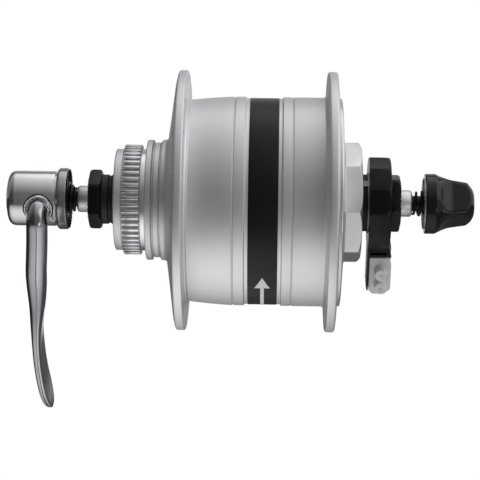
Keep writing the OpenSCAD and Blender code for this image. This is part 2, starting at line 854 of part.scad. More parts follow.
// Collar that bites on the fork, hollow for the spring
module lever_collar() {
    round_r = 0.9;
    collar_r = collar_d / 2;
    color("#a8aaad") difference() {
        turned(concat(
            [[collar_x, collar_bore_r], [collar_x, housing_r]],
            arc(collar_x + round_r, collar_r - round_r, round_r, 180, 90, 4),
            [[collar_face_x - 0.4, collar_r], [collar_face_x, collar_r - 0.6], [collar_face_x, hollow_r]],
            [[collar_x + web_t, hollow_r], [collar_x + web_t, collar_bore_r]]
        ));
        face_serration(collar_face_x, 1, hollow_r - 1, collar_r - 1);
    }
}

// Cam shaft: a wide journal by the arm, the offset cam in the eye, and a small journal in the far wall
module lever_cam() {
    color("#8d8f92") {
        cross_bar(pivot_x, -journal_out, -eye_half_t - 0.3, journal_r);
        cross_bar(pivot_x - cam_offset, -eye_half_t - 0.3 - ease, eye_half_t + 0.4, cam_r);
        cross_bar(pivot_x, eye_half_t + 0.4 - ease, housing_r - 0.65, far_journal_r);
    }
}

// Skewer: a rod with an oblong eye round the cam
module skewer_rod() {
    hole_r = cam_r + cam_hole_gap;
    hole_reach = eye_half_h - eye_wall - hole_r;
    eye_x = pivot_x - cam_offset;
    color("silver") difference() {
        union() {
            bar(eye_x + hole_r, rod_end_x, rod_r);
            leaning() translate([eye_x - eye_half_w, -eye_half_t, -eye_half_h + 1.5])
                cube([2 * eye_half_w, 2 * eye_half_t, 2 * eye_half_h - 3]);
            leaning() translate([eye_x - eye_half_w + 1.5, -eye_half_t, -eye_half_h])
                cube([2 * eye_half_w - 3, 2 * eye_half_t, 2 * eye_half_h]);
        }
        for (z = [-hole_reach, hole_reach]) leaning() translate([eye_x, housing_r, z]) rotate([90, 0, 0])
            cylinder(r = hole_r, h = housing_d);
        leaning() translate([eye_x - hole_r, -housing_r, -hole_reach])
            cube([2 * hole_r, housing_d, 2 * hole_reach]);
    }
}

// Sections along the lever's arm: distance travelled maps to a centre, a direction and two half widths
arm_bend_steps = 6;
arm_length_steps = 26;
arm_sides = 20;

function bow(u) = -6.75 * lever_bow * pow(u / bow_zero, 2) * (1 - u / bow_zero);

function arm_half_x(u) =
    let (flat = ease_in(u, flat_start, flat_end))
    (arm_d / 2 * (1 - flat) + paddle_t / 2 * flat) * tip_share(u, 0.35);

function arm_half_y(u) =
    let (flat = ease_in(u, flat_start, flat_end))
    (arm_d / 2 * (1 - flat) + paddle_w / 2 * flat) * tip_share(u, 0.5);

function tip_share(u, power) =
    u <= tip_start ? 1 : pow(max(0.02, 1 - pow((u - tip_start) / (lever_reach - tip_start), 2)), power);

// One ring of the arm at depth u below the pivot
function arm_ring(u) =
    let (cx = pivot_x + bow(u))
    [for (k = [0:arm_sides - 1]) let (a = 360 * k / arm_sides)
        [cx + arm_half_x(u) * cos(a), arm_y + arm_half_y(u) * sin(a), -u]];

// One ring of the bend, where turn runs from 0 at the pivot to 90 at the arm
function bend_ring(turn) =
    [for (k = [0:arm_sides - 1]) let (a = 360 * k / arm_sides, out = arm_d / 2 * sin(a))
        [pivot_x + arm_d / 2 * cos(a), arm_y + bend_r - (bend_r - out) * sin(turn),
            -bend_r + (bend_r - out) * cos(turn)]];

// Closed skin over a list of rings with equal counts
module skin(rings) {
    count = len(rings[0]);
    last = len(rings) - 1;
    points = [for (ring = rings, p = ring) p];
    sides = [for (i = [0:last - 1], k = [0:count - 1])
        let (a = i * count + k, b = i * count + (k + 1) % count)
        each [[a, b, a + count], [b, b + count, a + count]]];
    start = [for (k = [1:count - 2]) [0, k + 1, k]];
    end = [for (k = [1:count - 2]) [last * count, last * count + k, last * count + k + 1]];
    polyhedron(points = points, faces = concat(sides, start, end));
}

// Lever arm: a round bend out of the housing that flattens into a paddle
module lever_arm() {
    bend = [for (i = [0:arm_bend_steps - 1]) bend_ring(90 * i / arm_bend_steps)];
    foot = [for (p = bend[0]) [p[0], -journal_out, p[2]]];
    arm = [for (i = [0:arm_length_steps])
        arm_ring(bend_r + (lever_reach - bend_r) * (1 - pow(1 - i / arm_length_steps, 1.35)))];
    color("#8d8f92") leaning() skin(concat([foot], bend, arm));
}

// Points along a conical spring, with straight ends one wire long
curl_steps = 8;

function spring_point(t, x0, x1, r0, r1) =
    let (r = r0 + (r1 - r0) * t / spring_turns)
    [x0 + (x1 - x0) * t / spring_turns, r * cos(360 * t), r * sin(360 * t)];

function spring_path(x0, x1, r0, r1) =
    let (
        inner = [for (i = [0:spring_turns * curl_steps]) spring_point(i / curl_steps, x0, x1, r0, r1)],
        last = len(inner) - 1,
        lead_in = [0, 0, -spring_wire_d],
        lead_out = spring_wire_d * [0, -sin(360 * spring_turns), cos(360 * spring_turns)]
    )
    concat([inner[0] + lead_in], inner, [inner[last] + lead_out]);

function unit(v) = v / norm(v);

// Six-sided ring round a path point, square to the path and level with the axle
function wire_ring(path, i) =
    let (
        last = len(path) - 1,
        along = unit(path[min(last, i + 1)] - path[max(0, i - 1)]),
        outward = unit(cross(along, [1, 0, 0])),
        level = cross(outward, along)
    )
    [for (k = [0:5]) path[i] + spring_wire_d / 2 * (cos(60 * k) * outward + sin(60 * k) * level)];

// Least gap between neighbouring turns, measured on the path's points
function spring_gap(path) =
    min([for (i = [0:len(path) - 1], j = [i + curl_steps - 2:1:len(path) - 1]) norm(path[i] - path[j])])
        - spring_wire_d;

module spring(x0, x1, r0, r1, name) {
    path = spring_path(x0, x1, r0, r1);
    echo(str(name, " least gap ", spring_gap(path)));
    color("#151516") skin([for (i = [0:len(path) - 1]) wire_ring(path, i)]);
}

module left_spring() {
    mirror([1, 0, 0]) spring(left_spring_x + spring_wire_d / 2, left_spring_end - spring_wire_d / 2,
        spring_small_r, left_spring_big_r, "left_spring");
}

module right_spring() {
    spring(left_spring_x + spring_wire_d / 2, right_spring_end - spring_wire_d / 2,
        spring_small_r, right_spring_big_r, "right_spring");
}

// Plastic cover of the nut: a skirt, a waist and a tapered grip with scooped flats
module nut_cover() {
    skirt_l = 3.7;
    waist_x = nut_face_x + 5.8;
    grip_x = nut_end_x - 2.7;
    scoop_x = nut_face_x + 9.4;
    scoop_r = 5;
    flat_r = insert_body_r + 0.3;
    flat_lean = 5;
    flat_turn = 69;
    step = 0.05;
    color("#17171a") difference() {
        turned([
            [nut_face_x + 0.2, nut_r - 0.3], [nut_face_x + 0.6, nut_r], [nut_face_x + skirt_l, nut_r],
            [nut_face_x + skirt_l + 0.5, nut_r - 0.2], [waist_x - 0.9, nut_r - 0.6], [waist_x, nut_r - 0.9],
            [grip_x, grip_r], [nut_end_x - 0.9, grip_r - 2], [nut_end_x - 0.15, grip_r - 3.7],
            [nut_end_x, grip_r - 4.7], [nut_end_x, 0], [nut_face_x + 0.2, 0]
        ]);
        bar(nut_face_x - 1, nut_face_x + insert_flange_t + 0.2, insert_flange_r + ease);
        bar(nut_face_x, insert_end_x, insert_body_r);
        bar(nut_face_x, rod_pocket_x, collar_bore_r);
        around(nut_flats, flat_turn) translate([scoop_x, 0, flat_r]) rotate([0, flat_lean, 0]) {
            translate([-0.7, -nut_r, 0]) cube([nut_l, nut_d, nut_r]);
            translate([0, nut_r - 0.1, scoop_r + step]) rotate([90, 0, 0])
                cylinder(r = scoop_r, h = nut_d - 0.2);
        }
    }
}

// Threaded steel insert with the clamping face
module nut_insert() {
    bore = rod_r + fit_gap;
    color("#c9cbcd") difference() {
        turned([
            [nut_face_x, nut_hollow_r], [nut_face_x, insert_flange_r],
            [nut_face_x + insert_flange_t, insert_flange_r], [nut_face_x + insert_flange_t, insert_body_r],
            [insert_end_x, insert_body_r], [insert_end_x, bore], [nut_face_x + nut_hollow_l, bore],
            [nut_face_x + nut_hollow_l, nut_hollow_r]
        ]);
        face_serration(nut_face_x, -1, nut_hollow_r - 1, insert_flange_r - 0.4);
    }
}

axle();
left_locknut();
right_locknut();
left_cone();
right_cone();
left_dust_cap();
right_dust_cap();
tab_washer();
stator_core();
coil_bobbin();
coil_winding();
left_claw_yoke();
right_claw_yoke();
stator_nuts();
lead_wire();
terminal_housing();
terminal_contacts();
hub_shell();
end_cap();
label_band();
back_iron_ring();
rotor_magnets();
left_cup();
right_cup();
left_seal();
right_seal();
cap_gasket();
left_balls();
left_ball_cage();
right_balls();
right_ball_cage();
lever_housing();
lever_collar();
left_spring();
lever_arm();
lever_cam();
skewer_rod();
right_spring();
nut_cover();
nut_insert();
connector_plug();
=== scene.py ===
"""Looks of a bicycle hub dynamo with its quick-release skewer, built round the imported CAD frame.

Everything is in metres in the CAD frame: the axle lies along X, the disc mount and the lever are at -X,
the connector is at +X, -Y faces the camera and +Z is up. Sizes in the classes are in millimetres.
"""

import logging
import math
from dataclasses import dataclass
from enum import Enum
from functools import partial
from typing import Callable, Sequence

import bmesh
import bpy
from mathutils import Matrix, Quaternion, Vector

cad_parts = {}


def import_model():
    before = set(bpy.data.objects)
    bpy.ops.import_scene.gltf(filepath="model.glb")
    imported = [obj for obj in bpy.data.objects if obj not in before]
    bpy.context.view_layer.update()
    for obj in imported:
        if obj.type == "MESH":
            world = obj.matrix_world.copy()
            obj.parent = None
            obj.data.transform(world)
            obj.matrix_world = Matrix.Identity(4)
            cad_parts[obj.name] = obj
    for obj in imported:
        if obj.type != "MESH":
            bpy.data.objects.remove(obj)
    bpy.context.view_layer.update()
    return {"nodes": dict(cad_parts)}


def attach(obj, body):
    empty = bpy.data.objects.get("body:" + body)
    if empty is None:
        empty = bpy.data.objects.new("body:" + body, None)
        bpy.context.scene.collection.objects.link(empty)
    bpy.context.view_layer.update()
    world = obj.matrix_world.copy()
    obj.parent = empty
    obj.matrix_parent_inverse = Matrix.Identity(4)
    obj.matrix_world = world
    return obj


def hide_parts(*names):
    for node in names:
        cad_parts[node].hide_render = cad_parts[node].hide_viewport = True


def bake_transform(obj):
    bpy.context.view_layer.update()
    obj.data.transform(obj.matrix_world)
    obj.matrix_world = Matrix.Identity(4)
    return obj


LOG = logging.getLogger("hub_dynamo")
MM = 0.001
LEAN = math.radians(25.0)

Piece = bpy.types.Object
Point = tuple[float, float]
Point3 = tuple[float, float, float]


class Body(str, Enum):
    """CAD bodies that pieces ride on."""

    AXLE = "axle"
    SHELL = "shell"
    LEVER_BODY = "lever_body"
    LEVER = "lever"
    NUT = "nut"
    PLUG = "plug"


class Slot(str, Enum):
    """Material slots of the record."""

    SHELL_ALLOY = "shell_alloy"
    POLISHED_ALLOY = "polished_alloy"
    BRIGHT_STEEL = "bright_steel"
    BLACK_STEEL = "black_steel"
    SPRING_STEEL = "spring_steel"
    BLACK_PLASTIC = "black_plastic"
    GREY_PLASTIC = "grey_plastic"
    BLACK_RUBBER = "black_rubber"
    LABEL_FILM = "label_film"


class Change(Enum):
    """What a tool does to a piece."""

    ADD = "UNION"
    CUT = "DIFFERENCE"
    TRIM = "INTERSECT"


class Pattern(Enum):
    """How a surface was made: its grain, and the share of the grain's fineness along X, Y and Z."""

    BLASTED = ("even fine grain", (1.0, 1.0, 1.0))
    TURNED = ("fine rings round the axle", (1.0, 0.015, 0.015))
    POLISHED = ("faint long smears", (0.35, 1.0, 0.06))
    MOULDED = ("soft pebble grain", (1.0, 1.0, 1.0))


def linear(hex_code: str) -> tuple[float, float, float, float]:
    """Turn an sRGB hex colour into linear RGBA.

    Args:
        hex_code: colour such as "#b9bbbd".

    Returns:
        Linear red, green, blue and an alpha of 1.
    """
    values = [int(hex_code[i : i + 2], 16) / 255 for i in (1, 3, 5)]
    red, green, blue = [v / 12.92 if v <= 0.04045 else ((v + 0.055) / 1.055) ** 2.4 for v in values]
    return red, green, blue, 1.0


def add_node(
    tree: bpy.types.NodeTree, kind: str, inputs: dict | None = None, **settings: object
) -> bpy.types.Node:
    """Add a node with its settings, input values and links.

    Args:
        tree: node tree that gets the node.
        kind: Blender's node type name.
        inputs: input name or index to a value, to a socket, or to a node that gives its first output.
        settings: attributes of the node.

    Returns:
        The new node.
    """
    node = tree.nodes.new(kind)
    for name, value in settings.items():
        setattr(node, name, value)
    for key, value in (inputs or {}).items():
        if isinstance(value, bpy.types.Node):
            value = value.outputs[0]
        if isinstance(value, bpy.types.NodeSocket):
            tree.links.new(value, node.inputs[key])
        else:
            node.inputs[key].default_value = value
    return node


def bare_tree(owner: bpy.types.Material | bpy.types.World) -> bpy.types.NodeTree:
    """Give a material or the world an empty node tree."""
    owner.use_nodes = True
    owner.node_tree.nodes.clear()
    return owner.node_tree


@dataclass(frozen=True)
class Finish:
    """A real surface finish and the material that shows it.

    Attributes:
        name: material name, for what the real one is.
        dark: sRGB hex of the darker tone of the surface.
        light: sRGB hex of the lighter tone.
        pattern: how the surface was made.
        grain_mm: size of the pattern's grain. Real blasting, turning and mould grain is under 0.1 mm, too
            fine to show, so it is drawn as coarse as it needs to show.
        depth_mm: height of the grain.
        roughness: lowest and highest roughness over the surface.
        metallic: 1 for bare metal, 0 for paint, rubber and plastic.
        gloss: strength of the mirror part of what isn't metal, 0.5 as the index gives it.
        cloud_mm: size of the broad, faint changes of tone.
        span: values of the grain that show the darkest and the lightest tone.
    """

    name: str
    dark: str
    light: str
    pattern: Pattern
    grain_mm: float
    depth_mm: float
    roughness: Point
    metallic: float = 0.0
    gloss: float = 0.5
    cloud_mm: float = 12.0
    span: Point = (0.3, 0.7)

    def material(self) -> bpy.types.Material:
        """Return the finish's material, and make it the first time."""
        made = bpy.data.materials.get(self.name)
        if made:
            return made
        material = bpy.data.materials.new(self.name)
        add = partial(add_node, bare_tree(material))
        place = add("ShaderNodeTexCoord").outputs["Object"]
        scaled = add("ShaderNodeMapping", {"Vector": place, "Scale": self.pattern.value[1]})
        grain = {"Vector": scaled, "Scale": 1 / (self.grain_mm * MM), "Detail": 3.0}
        fine = add("ShaderNodeTexNoise", grain)
        clouds = {"Vector": place, "Scale": 1 / (self.cloud_mm * MM), "Detail": 4.0}
        cloudy = add("ShaderNodeTexNoise", clouds)
        both = add("ShaderNodeMix", {"Factor": 0.35, "A": fine, "B": cloudy}, data_type="FLOAT")
        tone = add("ShaderNodeValToRGB", {"Fac": both})
        for stop, at, colour in zip(tone.color_ramp.elements, self.span, (self.dark, self.light)):
            stop.position = at
            stop.color = linear(colour)
        keys = ("From Min", "From Max", "To Min", "To Max")
        rough = add("ShaderNodeMapRange", {"Value": both, **dict(zip(keys, self.span + self.roughness))})
        bump = add("ShaderNodeBump", {"Height": fine, "Strength": 1.0, "Distance": self.depth_mm * MM})
        looks = {
            "Base Color": tone,
            "Roughness": rough,
            "Normal": bump,
            "Metallic": self.metallic,
            "IOR": 1.5,
            "Specular IOR Level": self.gloss,
        }
        add("ShaderNodeOutputMaterial", {"Surface": add("ShaderNodeBsdfPrincipled", looks)})
        return material


class Finishes:
    """The finishes of this object."""

    # Clear anodised aluminium, bead blasted: a dry even sheen with no sharp reflection.
    SHELL = Finish(
        "blasted_anodised_aluminium", "#dcdee0", "#e5e6e8", Pattern.BLASTED, 0.35, 0.004, (0.47, 0.55), 1.0
    )
    # Clear anodised aluminium, machined and not blasted: crisper, on the end cap.
    CAP = Finish(
        "machined_anodised_aluminium", "#d8dadc", "#e2e3e5", Pattern.BLASTED, 0.25, 0.002, (0.3, 0.36), 1.0
    )
    # The same alloy, cut on a lathe after anodising: brighter, with fine rings.
    CUT = Finish("turned_aluminium", "#d6d8da", "#e6e7e8", Pattern.TURNED, 0.12, 0.003, (0.2, 0.28), 1.0)
    # Forged aluminium, barrel polished: nearly a mirror, faintly smeared.
    POLISHED = Finish(
        "polished_forged_aluminium", "#d2d4d7", "#dcdee0", Pattern.POLISHED, 1.2, 0.001, (0.08, 0.13), 1.0
    )
    # The same forging, tumbled to a satin on the arm: smooth tones with soft edges, and a darker tone than
    # the housing that is painted shade, for the dark room that the arm reflects.
    SATIN_PAINTED_SHADE = Finish(
        "satin_forged_aluminium_painted_shade", "#a6a8ac", "#b0b2b5", Pattern.POLISHED, 1.2, 0.0, (0.12, 0.16), 1.0
    )
    # Nickel plated steel of the collar: a darker mirror, its whole tone lowered further as painted shade, for
    # the shade the lever arm casts on its lower half.
    NICKEL_AND_PAINTED_SHADE = Finish(
        "nickel_steel_painted_shade", "#a0a1a2", "#aaabac", Pattern.POLISHED, 1.2, 0.0, (0.1, 0.15), 1.0
    )
    # Zinc plated steel: bright, a little cloudy.
    PLATED = Finish("zinc_plated_steel", "#dcdcda", "#eaeae8", Pattern.TURNED, 0.3, 0.004, (0.36, 0.46), 1.0)
    # Steel of the skewer rod, dull and oily, painted near black: painted shade for the shade inside the
    # springs.
    ROD_PAINTED_SHADE = Finish("skewer_steel_painted_shade", "#2c2c2e", "#363638", Pattern.TURNED, 0.3, 0.002, (0.35, 0.45), 1.0)
    # Ground bearing steel: a fine bright turned sheen.
    GROUND = Finish(
        "ground_bearing_steel", "#c8c9cb", "#d8d9db", Pattern.TURNED, 0.15, 0.001, (0.12, 0.18), 1.0
    )
    # Black oxide on steel, oiled: near black with a soft gloss.
    BLACK_STEEL = Finish(
        "black_oxide_steel", "#0a0a0b", "#101011", Pattern.BLASTED, 0.3, 0.003, (0.3, 0.4), gloss=0.22
    )
    # Black spring wire, drawn and oiled: black with a thin highlight.
    SPRING = Finish(
        "black_spring_wire", "#090909", "#0e0e0f", Pattern.BLASTED, 0.25, 0.002, (0.3, 0.4), gloss=0.3
    )
    # Nitrile rubber from a mould: matt and slightly dusty.
    RUBBER = Finish("nitrile_rubber", "#141415", "#1e1e1f", Pattern.MOULDED, 0.4, 0.006, (0.45, 0.58))
    # Glass-filled nylon, injection moulded: black with a fine pebble.
    BLACK_NYLON = Finish(
        "moulded_black_nylon", "#0a0a0b", "#101011", Pattern.MOULDED, 0.35, 0.003, (0.22, 0.3), gloss=0.22
    )
    # The same nylon from a polished mould, on the nut: sharper highlights.
    GLOSS_NYLON = Finish(
        "polished_black_nylon", "#090909", "#0e0e0f", Pattern.MOULDED, 0.35, 0.0, (0.14, 0.18), gloss=0.4
    )
    # Light grey PBT, injection moulded: pale and half matt.
    GREY_PBT = Finish("moulded_grey_pbt", "#dadcdd", "#e2e3e4", Pattern.MOULDED, 0.35, 0.004, (0.36, 0.46))
    # Printed polyester film: black, smooth and half gloss.
    FILM = Finish(
        "printed_black_film", "#131314", "#181819", Pattern.BLASTED, 0.6, 0.001, (0.34, 0.4), gloss=0.25
    )
    # White screen ink on the film: flat and chalky.
    INK = Finish("white_screen_ink", "#e2e3e3", "#ececec", Pattern.BLASTED, 0.4, 0.002, (0.5, 0.6))
    # Zinc passivated soft iron of the pole claws and the tab washer: dull grey.
    IRON = Finish("passivated_soft_iron", "#8a8a86", "#9c9c98", Pattern.BLASTED, 0.5, 0.004, (0.35, 0.5), 1.0)
    # Sintered ferrite of the magnets: charcoal and dry.
    FERRITE = Finish("sintered_ferrite", "#38383b", "#45454a", Pattern.BLASTED, 0.4, 0.006, (0.5, 0.65))
    # Natural nylon of the coil's bobbin: milky.
    NYLON = Finish("natural_nylon", "#ddd8c8", "#e8e4d6", Pattern.MOULDED, 0.5, 0.004, (0.4, 0.5))
    # Enamelled copper wire: warm, with the ridges of its turns.
    COPPER = Finish("enamelled_copper", "#a8522a", "#c06a3a", Pattern.TURNED, 0.4, 0.02, (0.25, 0.35), 1.0)
    # Brass sheet of the contacts and ball cages: yellow and bright.
    BRASS = Finish("brass_sheet", "#b58a3a", "#c89c4a", Pattern.BLASTED, 0.4, 0.002, (0.22, 0.32), 1.0)


def in_scene(name: str, data: bpy.types.ID) -> Piece:
    """Make an object of a mesh, lamp or camera and link it to the scene."""
    made = bpy.data.objects.new(name, data)
    bpy.context.scene.collection.objects.link(made)
    return made


def crease(piece: Piece, degrees: float) -> None:
    """Shade a piece smooth, with edges above an angle kept sharp."""
    piece.data.shade_smooth()
    piece.data.set_sharp_from_angle(angle=math.radians(degrees))


def mesh_object(
    name: str, verts: Sequence[Point3], faces: Sequence[Sequence[int]], crease_deg: float = 32.0
) -> Piece:
    """Make a mesh object from points in millimetres, smooth but for its sharp edges.

    Args:
        name: object and mesh name.
        verts: points in millimetres.
        faces: point indices of each face.
        crease_deg: edges whose faces meet at more than this stay sharp.

    Returns:
        The new object, linked to the scene.
    """
    mesh = bpy.data.meshes.new(name)
    mesh.from_pydata([tuple(c * MM for c in v) for v in verts], [], [tuple(f) for f in faces])
    work = bmesh.new()
    work.from_mesh(mesh)
    bmesh.ops.recalc_face_normals(work, faces=work.faces)
    work.to_mesh(mesh)
    work.free()
    piece = in_scene(name, mesh)
    crease(piece, crease_deg)
    return piece


def rounded(corners: Sequence[Point3], steps: int = 5) -> list[Point]:
    """Round the corners of an outline.

    Args:
        corners: x, radius and fillet radius of each corner, in order round a closed outline.
        steps: points along each fillet less one.

    Returns:
        The rounded outline as x and radius.
    """
    result: list[Point] = []
    for i, (x, r, fillet) in enumerate(corners):
        here = Vector((x, r))
        before = Vector(corners[i - 1][:2]) - here
        after = Vector(corners[(i + 1) % len(corners)][:2]) - here
        if fillet <= 0 or before.length < 1e-6 or after.length < 1e-6:
            result.append((x, r))
            continue
        angle = before.angle(after)
        reach = min(fillet / math.tan(angle / 2), before.length * 0.48, after.length * 0.48)
        start = here + before.normalized() * reach
        end = here + after.normalized() * reach
        for k in range(steps + 1):
            t = k / steps
            point = start * (1 - t) ** 2 + here * (2 * t * (1 - t)) + end * t**2
            result.append((point.x, point.y))
    return result


def eased(value: float, low: float, high: float) -> float:
    """Rise smoothly from 0 at the low value to 1 at the high one."""
    t = min(1.0, max(0.0, (value - low) / (high - low)))
    return t * t * (3 - 2 * t)


def angles(count: int) -> list[float]:
    """Return equal angles round a circle."""
    return [2 * math.pi * k / count for k in range(count)]


def about_axle(x: float, r: float, angle: float) -> Point3:
    """Return the point at a radius and an angle above the camera's side of the axle."""
    return x, -r * math.cos(angle), r * math.sin(angle)


def leaned(p: Point3) -> Point3:
    """Turn a point from the leaning frame of the lever and connector into the CAD frame."""
    c = math.cos(LEAN)
    s = math.sin(LEAN)
    return p[0], p[1] * c - p[2] * s, p[1] * s + p[2] * c


def front_on(u: float, v: float, w: float) -> Point3:
    """Place an outline of x and height at a level along Y, in the leaning frame."""
    return leaned((u, w, v))


def from_above(u: float, v: float, w: float) -> Point3:
    """Place an outline of x and y at a height, in the leaning frame."""
    return leaned((u, v, w))


def lathe(name: str, outline: Sequence[Point], segments: int = 160) -> Piece:
    """Turn a closed outline about X.

    Args:
        name: piece name.
        outline: x and radius of each point, round the section; points on the axle close to a pole.
        segments: steps round the axle.

    Returns:
        The turned piece.
    """
    verts: list[Point3] = []
    rows: list[list[int]] = []
    for x, r in outline:
        if r < 1e-6:
            verts.append((x, 0.0, 0.0))
            rows.append([len(verts) - 1] * segments)
            continue
        rows.append(list(range(len(verts), len(verts) + segments)))
        verts += [about_axle(x, r, a) for a in angles(segments)]
    faces: list[list[int]] = []
    for i, row in enumerate(rows):
        after = rows[(i + 1) % len(rows)]
        for k in range(segments):
            j = (k + 1) % segments
            face = list(dict.fromkeys([row[k], row[j], after[j], after[k]]))
            if len(face) > 2:
                faces.append(face)
    return mesh_object(name, verts, faces)


def loft(name: str, rings: Sequence[Sequence[Point3]], crease_deg: float = 40.0) -> Piece:
    """Skin a list of rings that have equal counts, and close both ends.

    Args:
        name: piece name.
        rings: points of each ring in millimetres.
        crease_deg: angle above which an edge stays sharp.

    Returns:
        The closed piece.
    """
    count = len(rings[0])
    verts = [p for ring in rings for p in ring]
    faces: list[list[int]] = []
    for i in range(len(rings) - 1):
        for k in range(count):
            a = i * count + k
            b = i * count + (k + 1) % count
            faces.append([a, b, b + count, a + count])
    faces.append(list(range(count)))
    faces.append(list(range(len(verts) - count, len(verts))))
    return mesh_object(name, verts, faces, crease_deg)


def extrude(
    name: str,
    outline: Sequence[Point],
    place: Callable[[float, float, float], Point3],
    low: float,
    high: float,
) -> Piece:
    """Extrude a flat outline between two levels.

    Args:
        name: piece name.
        outline: corners in the outline's own plane.
        place: maps the outline's two coordinates and the level to a point in millimetres.
        low: first level.
        high: last level.

    Returns:
        The closed piece.
    """
    return loft(name, [[place(u, v, w) for u, v in outline] for w in (low, high)])


def prism(name: str, sides: int, flats: float, turn_deg: float, x: Point) -> Piece:
    """Make a regular prism about X.

    Args:
        name: piece name.
        sides: number of flats.
        flats: distance across flats.
        turn_deg: angle of one corner above the camera's side.
        x: left and right end.

    Returns:
        The prism.
    """
    radius = flats / 2 / math.cos(math.pi / sides)
    start = math.radians(turn_deg)
    return loft(name, [[about_axle(end, radius, start + a) for a in angles(sides)] for end in x])


def leaning_turn(
    name: str, x: float, z: float, stations: Sequence[Point], count: int, crease_deg: float = 40.0
) -> Piece:
    """Turn rings about an axis along the leaning frame's Y.

    Args:
        name: piece name.
        x: place of the axis along the axle.
        z: height of the axis in the leaning frame.
        stations: y and radius of each ring.
        count: steps round the axis.
        crease_deg: angle above which an edge stays sharp.

    Returns:
        The closed piece.
    """
    rings = [
        [leaned((x + r * math.cos(a), y, z + r * math.sin(a))) for a in angles(count)] for y, r in stations
    ]
    return loft(name, rings, crease_deg)


def settle(piece: Piece, crease_deg: float = 32.0) -> Piece:
    """Turn a piece and its modifiers into a plain mesh."""
    graph = bpy.context.evaluated_depsgraph_get()
    mesh = bpy.data.meshes.new_from_object(piece.evaluated_get(graph))
    piece.modifiers.clear()
    piece.data = mesh
    crease(piece, crease_deg)
    return piece


def combine(piece: Piece, tool: Piece, change: Change) -> None:
    """Change a piece with a tool, and delete the tool.

    Args:
        piece: piece that is changed.
        tool: piece that is used up.
        change: what the tool does.
    """
    modifier = piece.modifiers.new("combine", "BOOLEAN")
    modifier.object = tool
    modifier.operation = change.value
    modifier.solver = "EXACT"
    settle(piece)
    bpy.data.objects.remove(tool)


def bevelled(piece: Piece, width_mm: float, segments: int = 3, limit_deg: float = 34.0) -> None:
    """Round a piece's sharp edges.

    Args:
        piece: piece that is changed.
        width_mm: width of the rounding.
        segments: faces across it.
        limit_deg: edges flatter than this are left.
    """
    modifier = piece.modifiers.new("round edges", "BEVEL")
    modifier.width = width_mm * MM
    modifier.segments = segments
    modifier.limit_method = "ANGLE"
    modifier.angle_limit = math.radians(limit_deg)
    modifier.harden_normals = False
    settle(piece, 50.0)


def paint(piece: Piece, finish: Finish) -> None:
    """Give a piece one finish all over."""
    piece.data.materials.clear()
    piece.data.materials.append(finish.material())


def dress(piece: Piece, finish: Finish, body: Body, node: str | None = None) -> None:
    """Give a piece its finish, its body and the CAD node that it stands for.

    Args:
        piece: finished mesh at the origin.
        finish: surface finish.
        body: CAD body that it rides on.
        node: CAD node that it replaces, if any.
    """
    paint(piece, finish)
    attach(piece, body.value)
    if node:
        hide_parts(node)
    LOG.info("%s rides on %s with %d faces", piece.name, body.value, len(piece.data.polygons))


class PieceTree:
    """Geometry Nodes tree that makes a piece, with named inputs for its sizes."""

    def __init__(self, name: str, inputs: dict[str, str]) -> None:
        """Start the tree with its inputs, a finish and one output.

        Args:
            name: tree name.
            inputs: input name to the kind of its socket.
        """
        self.tree = bpy.data.node_groups.new(name, "GeometryNodeTree")
        face = self.tree.interface
        for key, kind in (inputs | {"Finish": "Material"}).items():
            face.new_socket(key, in_out="INPUT", socket_type="NodeSocket" + kind)
        face.new_socket("Geometry", in_out="OUTPUT", socket_type="NodeSocketGeometry")
        self.add = partial(add_node, self.tree)
        self.given = self.add("NodeGroupInput").outputs

    def close(self, made: bpy.types.Node) -> None:
        """End the tree with real geometry in its finish."""
        real = self.add("GeometryNodeRealizeInstances", {"Geometry": made})
        dressed = self.add("GeometryNodeSetMaterial", {"Geometry": real, "Material": self.given["Finish"]})
        self.add("NodeGroupOutput", {"Geometry": dressed})

    def run(self, name: str, values: dict[str, object]) -> Piece:
        """Run the tree and keep its result as a plain mesh.

        Args:
            name: name of the new piece.
            values: input name to value.

        Returns:
            The new piece, with no modifier.
        """
        piece = in_scene(name, bpy.data.meshes.new(name))
        modifier = piece.modifiers.new("make", "NODES")
        modifier.node_group = self.tree
        sockets = {s.name: s.identifier for s in self.tree.interface.items_tree if s.in_out == "INPUT"}
        for key, value in values.items():
            modifier[sockets[key]] = value
        return settle(piece)


class RingTree(PieceTree):
    """Tree that repeats one piece round the axle."""

    def __init__(self) -> None:
        """Build the tree."""
        super().__init__("ring_about_axle", {"Piece": "Object", "Count": "Int", "Start": "Float"})
        add, given = self.add, self.given
        source = add("GeometryNodeObjectInfo", {"Object": given["Piece"]}).outputs["Geometry"]
        points = add("GeometryNodePoints", {"Count": given["Count"]})
        index = add("GeometryNodeInputIndex")
        share = add("ShaderNodeMath", {0: index, 1: given["Count"]}, operation="DIVIDE")
        turned = {0: share, 1: 2 * math.pi, 2: given["Start"]}
        angle = add("ShaderNodeMath", turned, operation="MULTIPLY_ADD")
        turn = add("ShaderNodeCombineXYZ", {"X": angle})
        spread = {"Points": points, "Instance": source, "Rotation": turn}
        self.close(add("GeometryNodeInstanceOnPoints", spread))

    def make(self, name: str, piece: Piece, count: int, start_deg: float, finish: Finish) -> Piece:
        """Repeat a piece round the axle as one mesh, and delete the piece.

        Args:
            name: name of the ring.
            piece: mesh in its place above the axle.
            count: copies in the ring.
            start_deg: turn of the first copy.
            finish: finish of the ring.

        Returns:
            The ring.
        """
        start = math.radians(start_deg)
        values = {"Piece": piece, "Count": count, "Start": start, "Finish": finish.material()}
        ring = self.run(name, values)
        bpy.data.objects.remove(piece)
        return ring


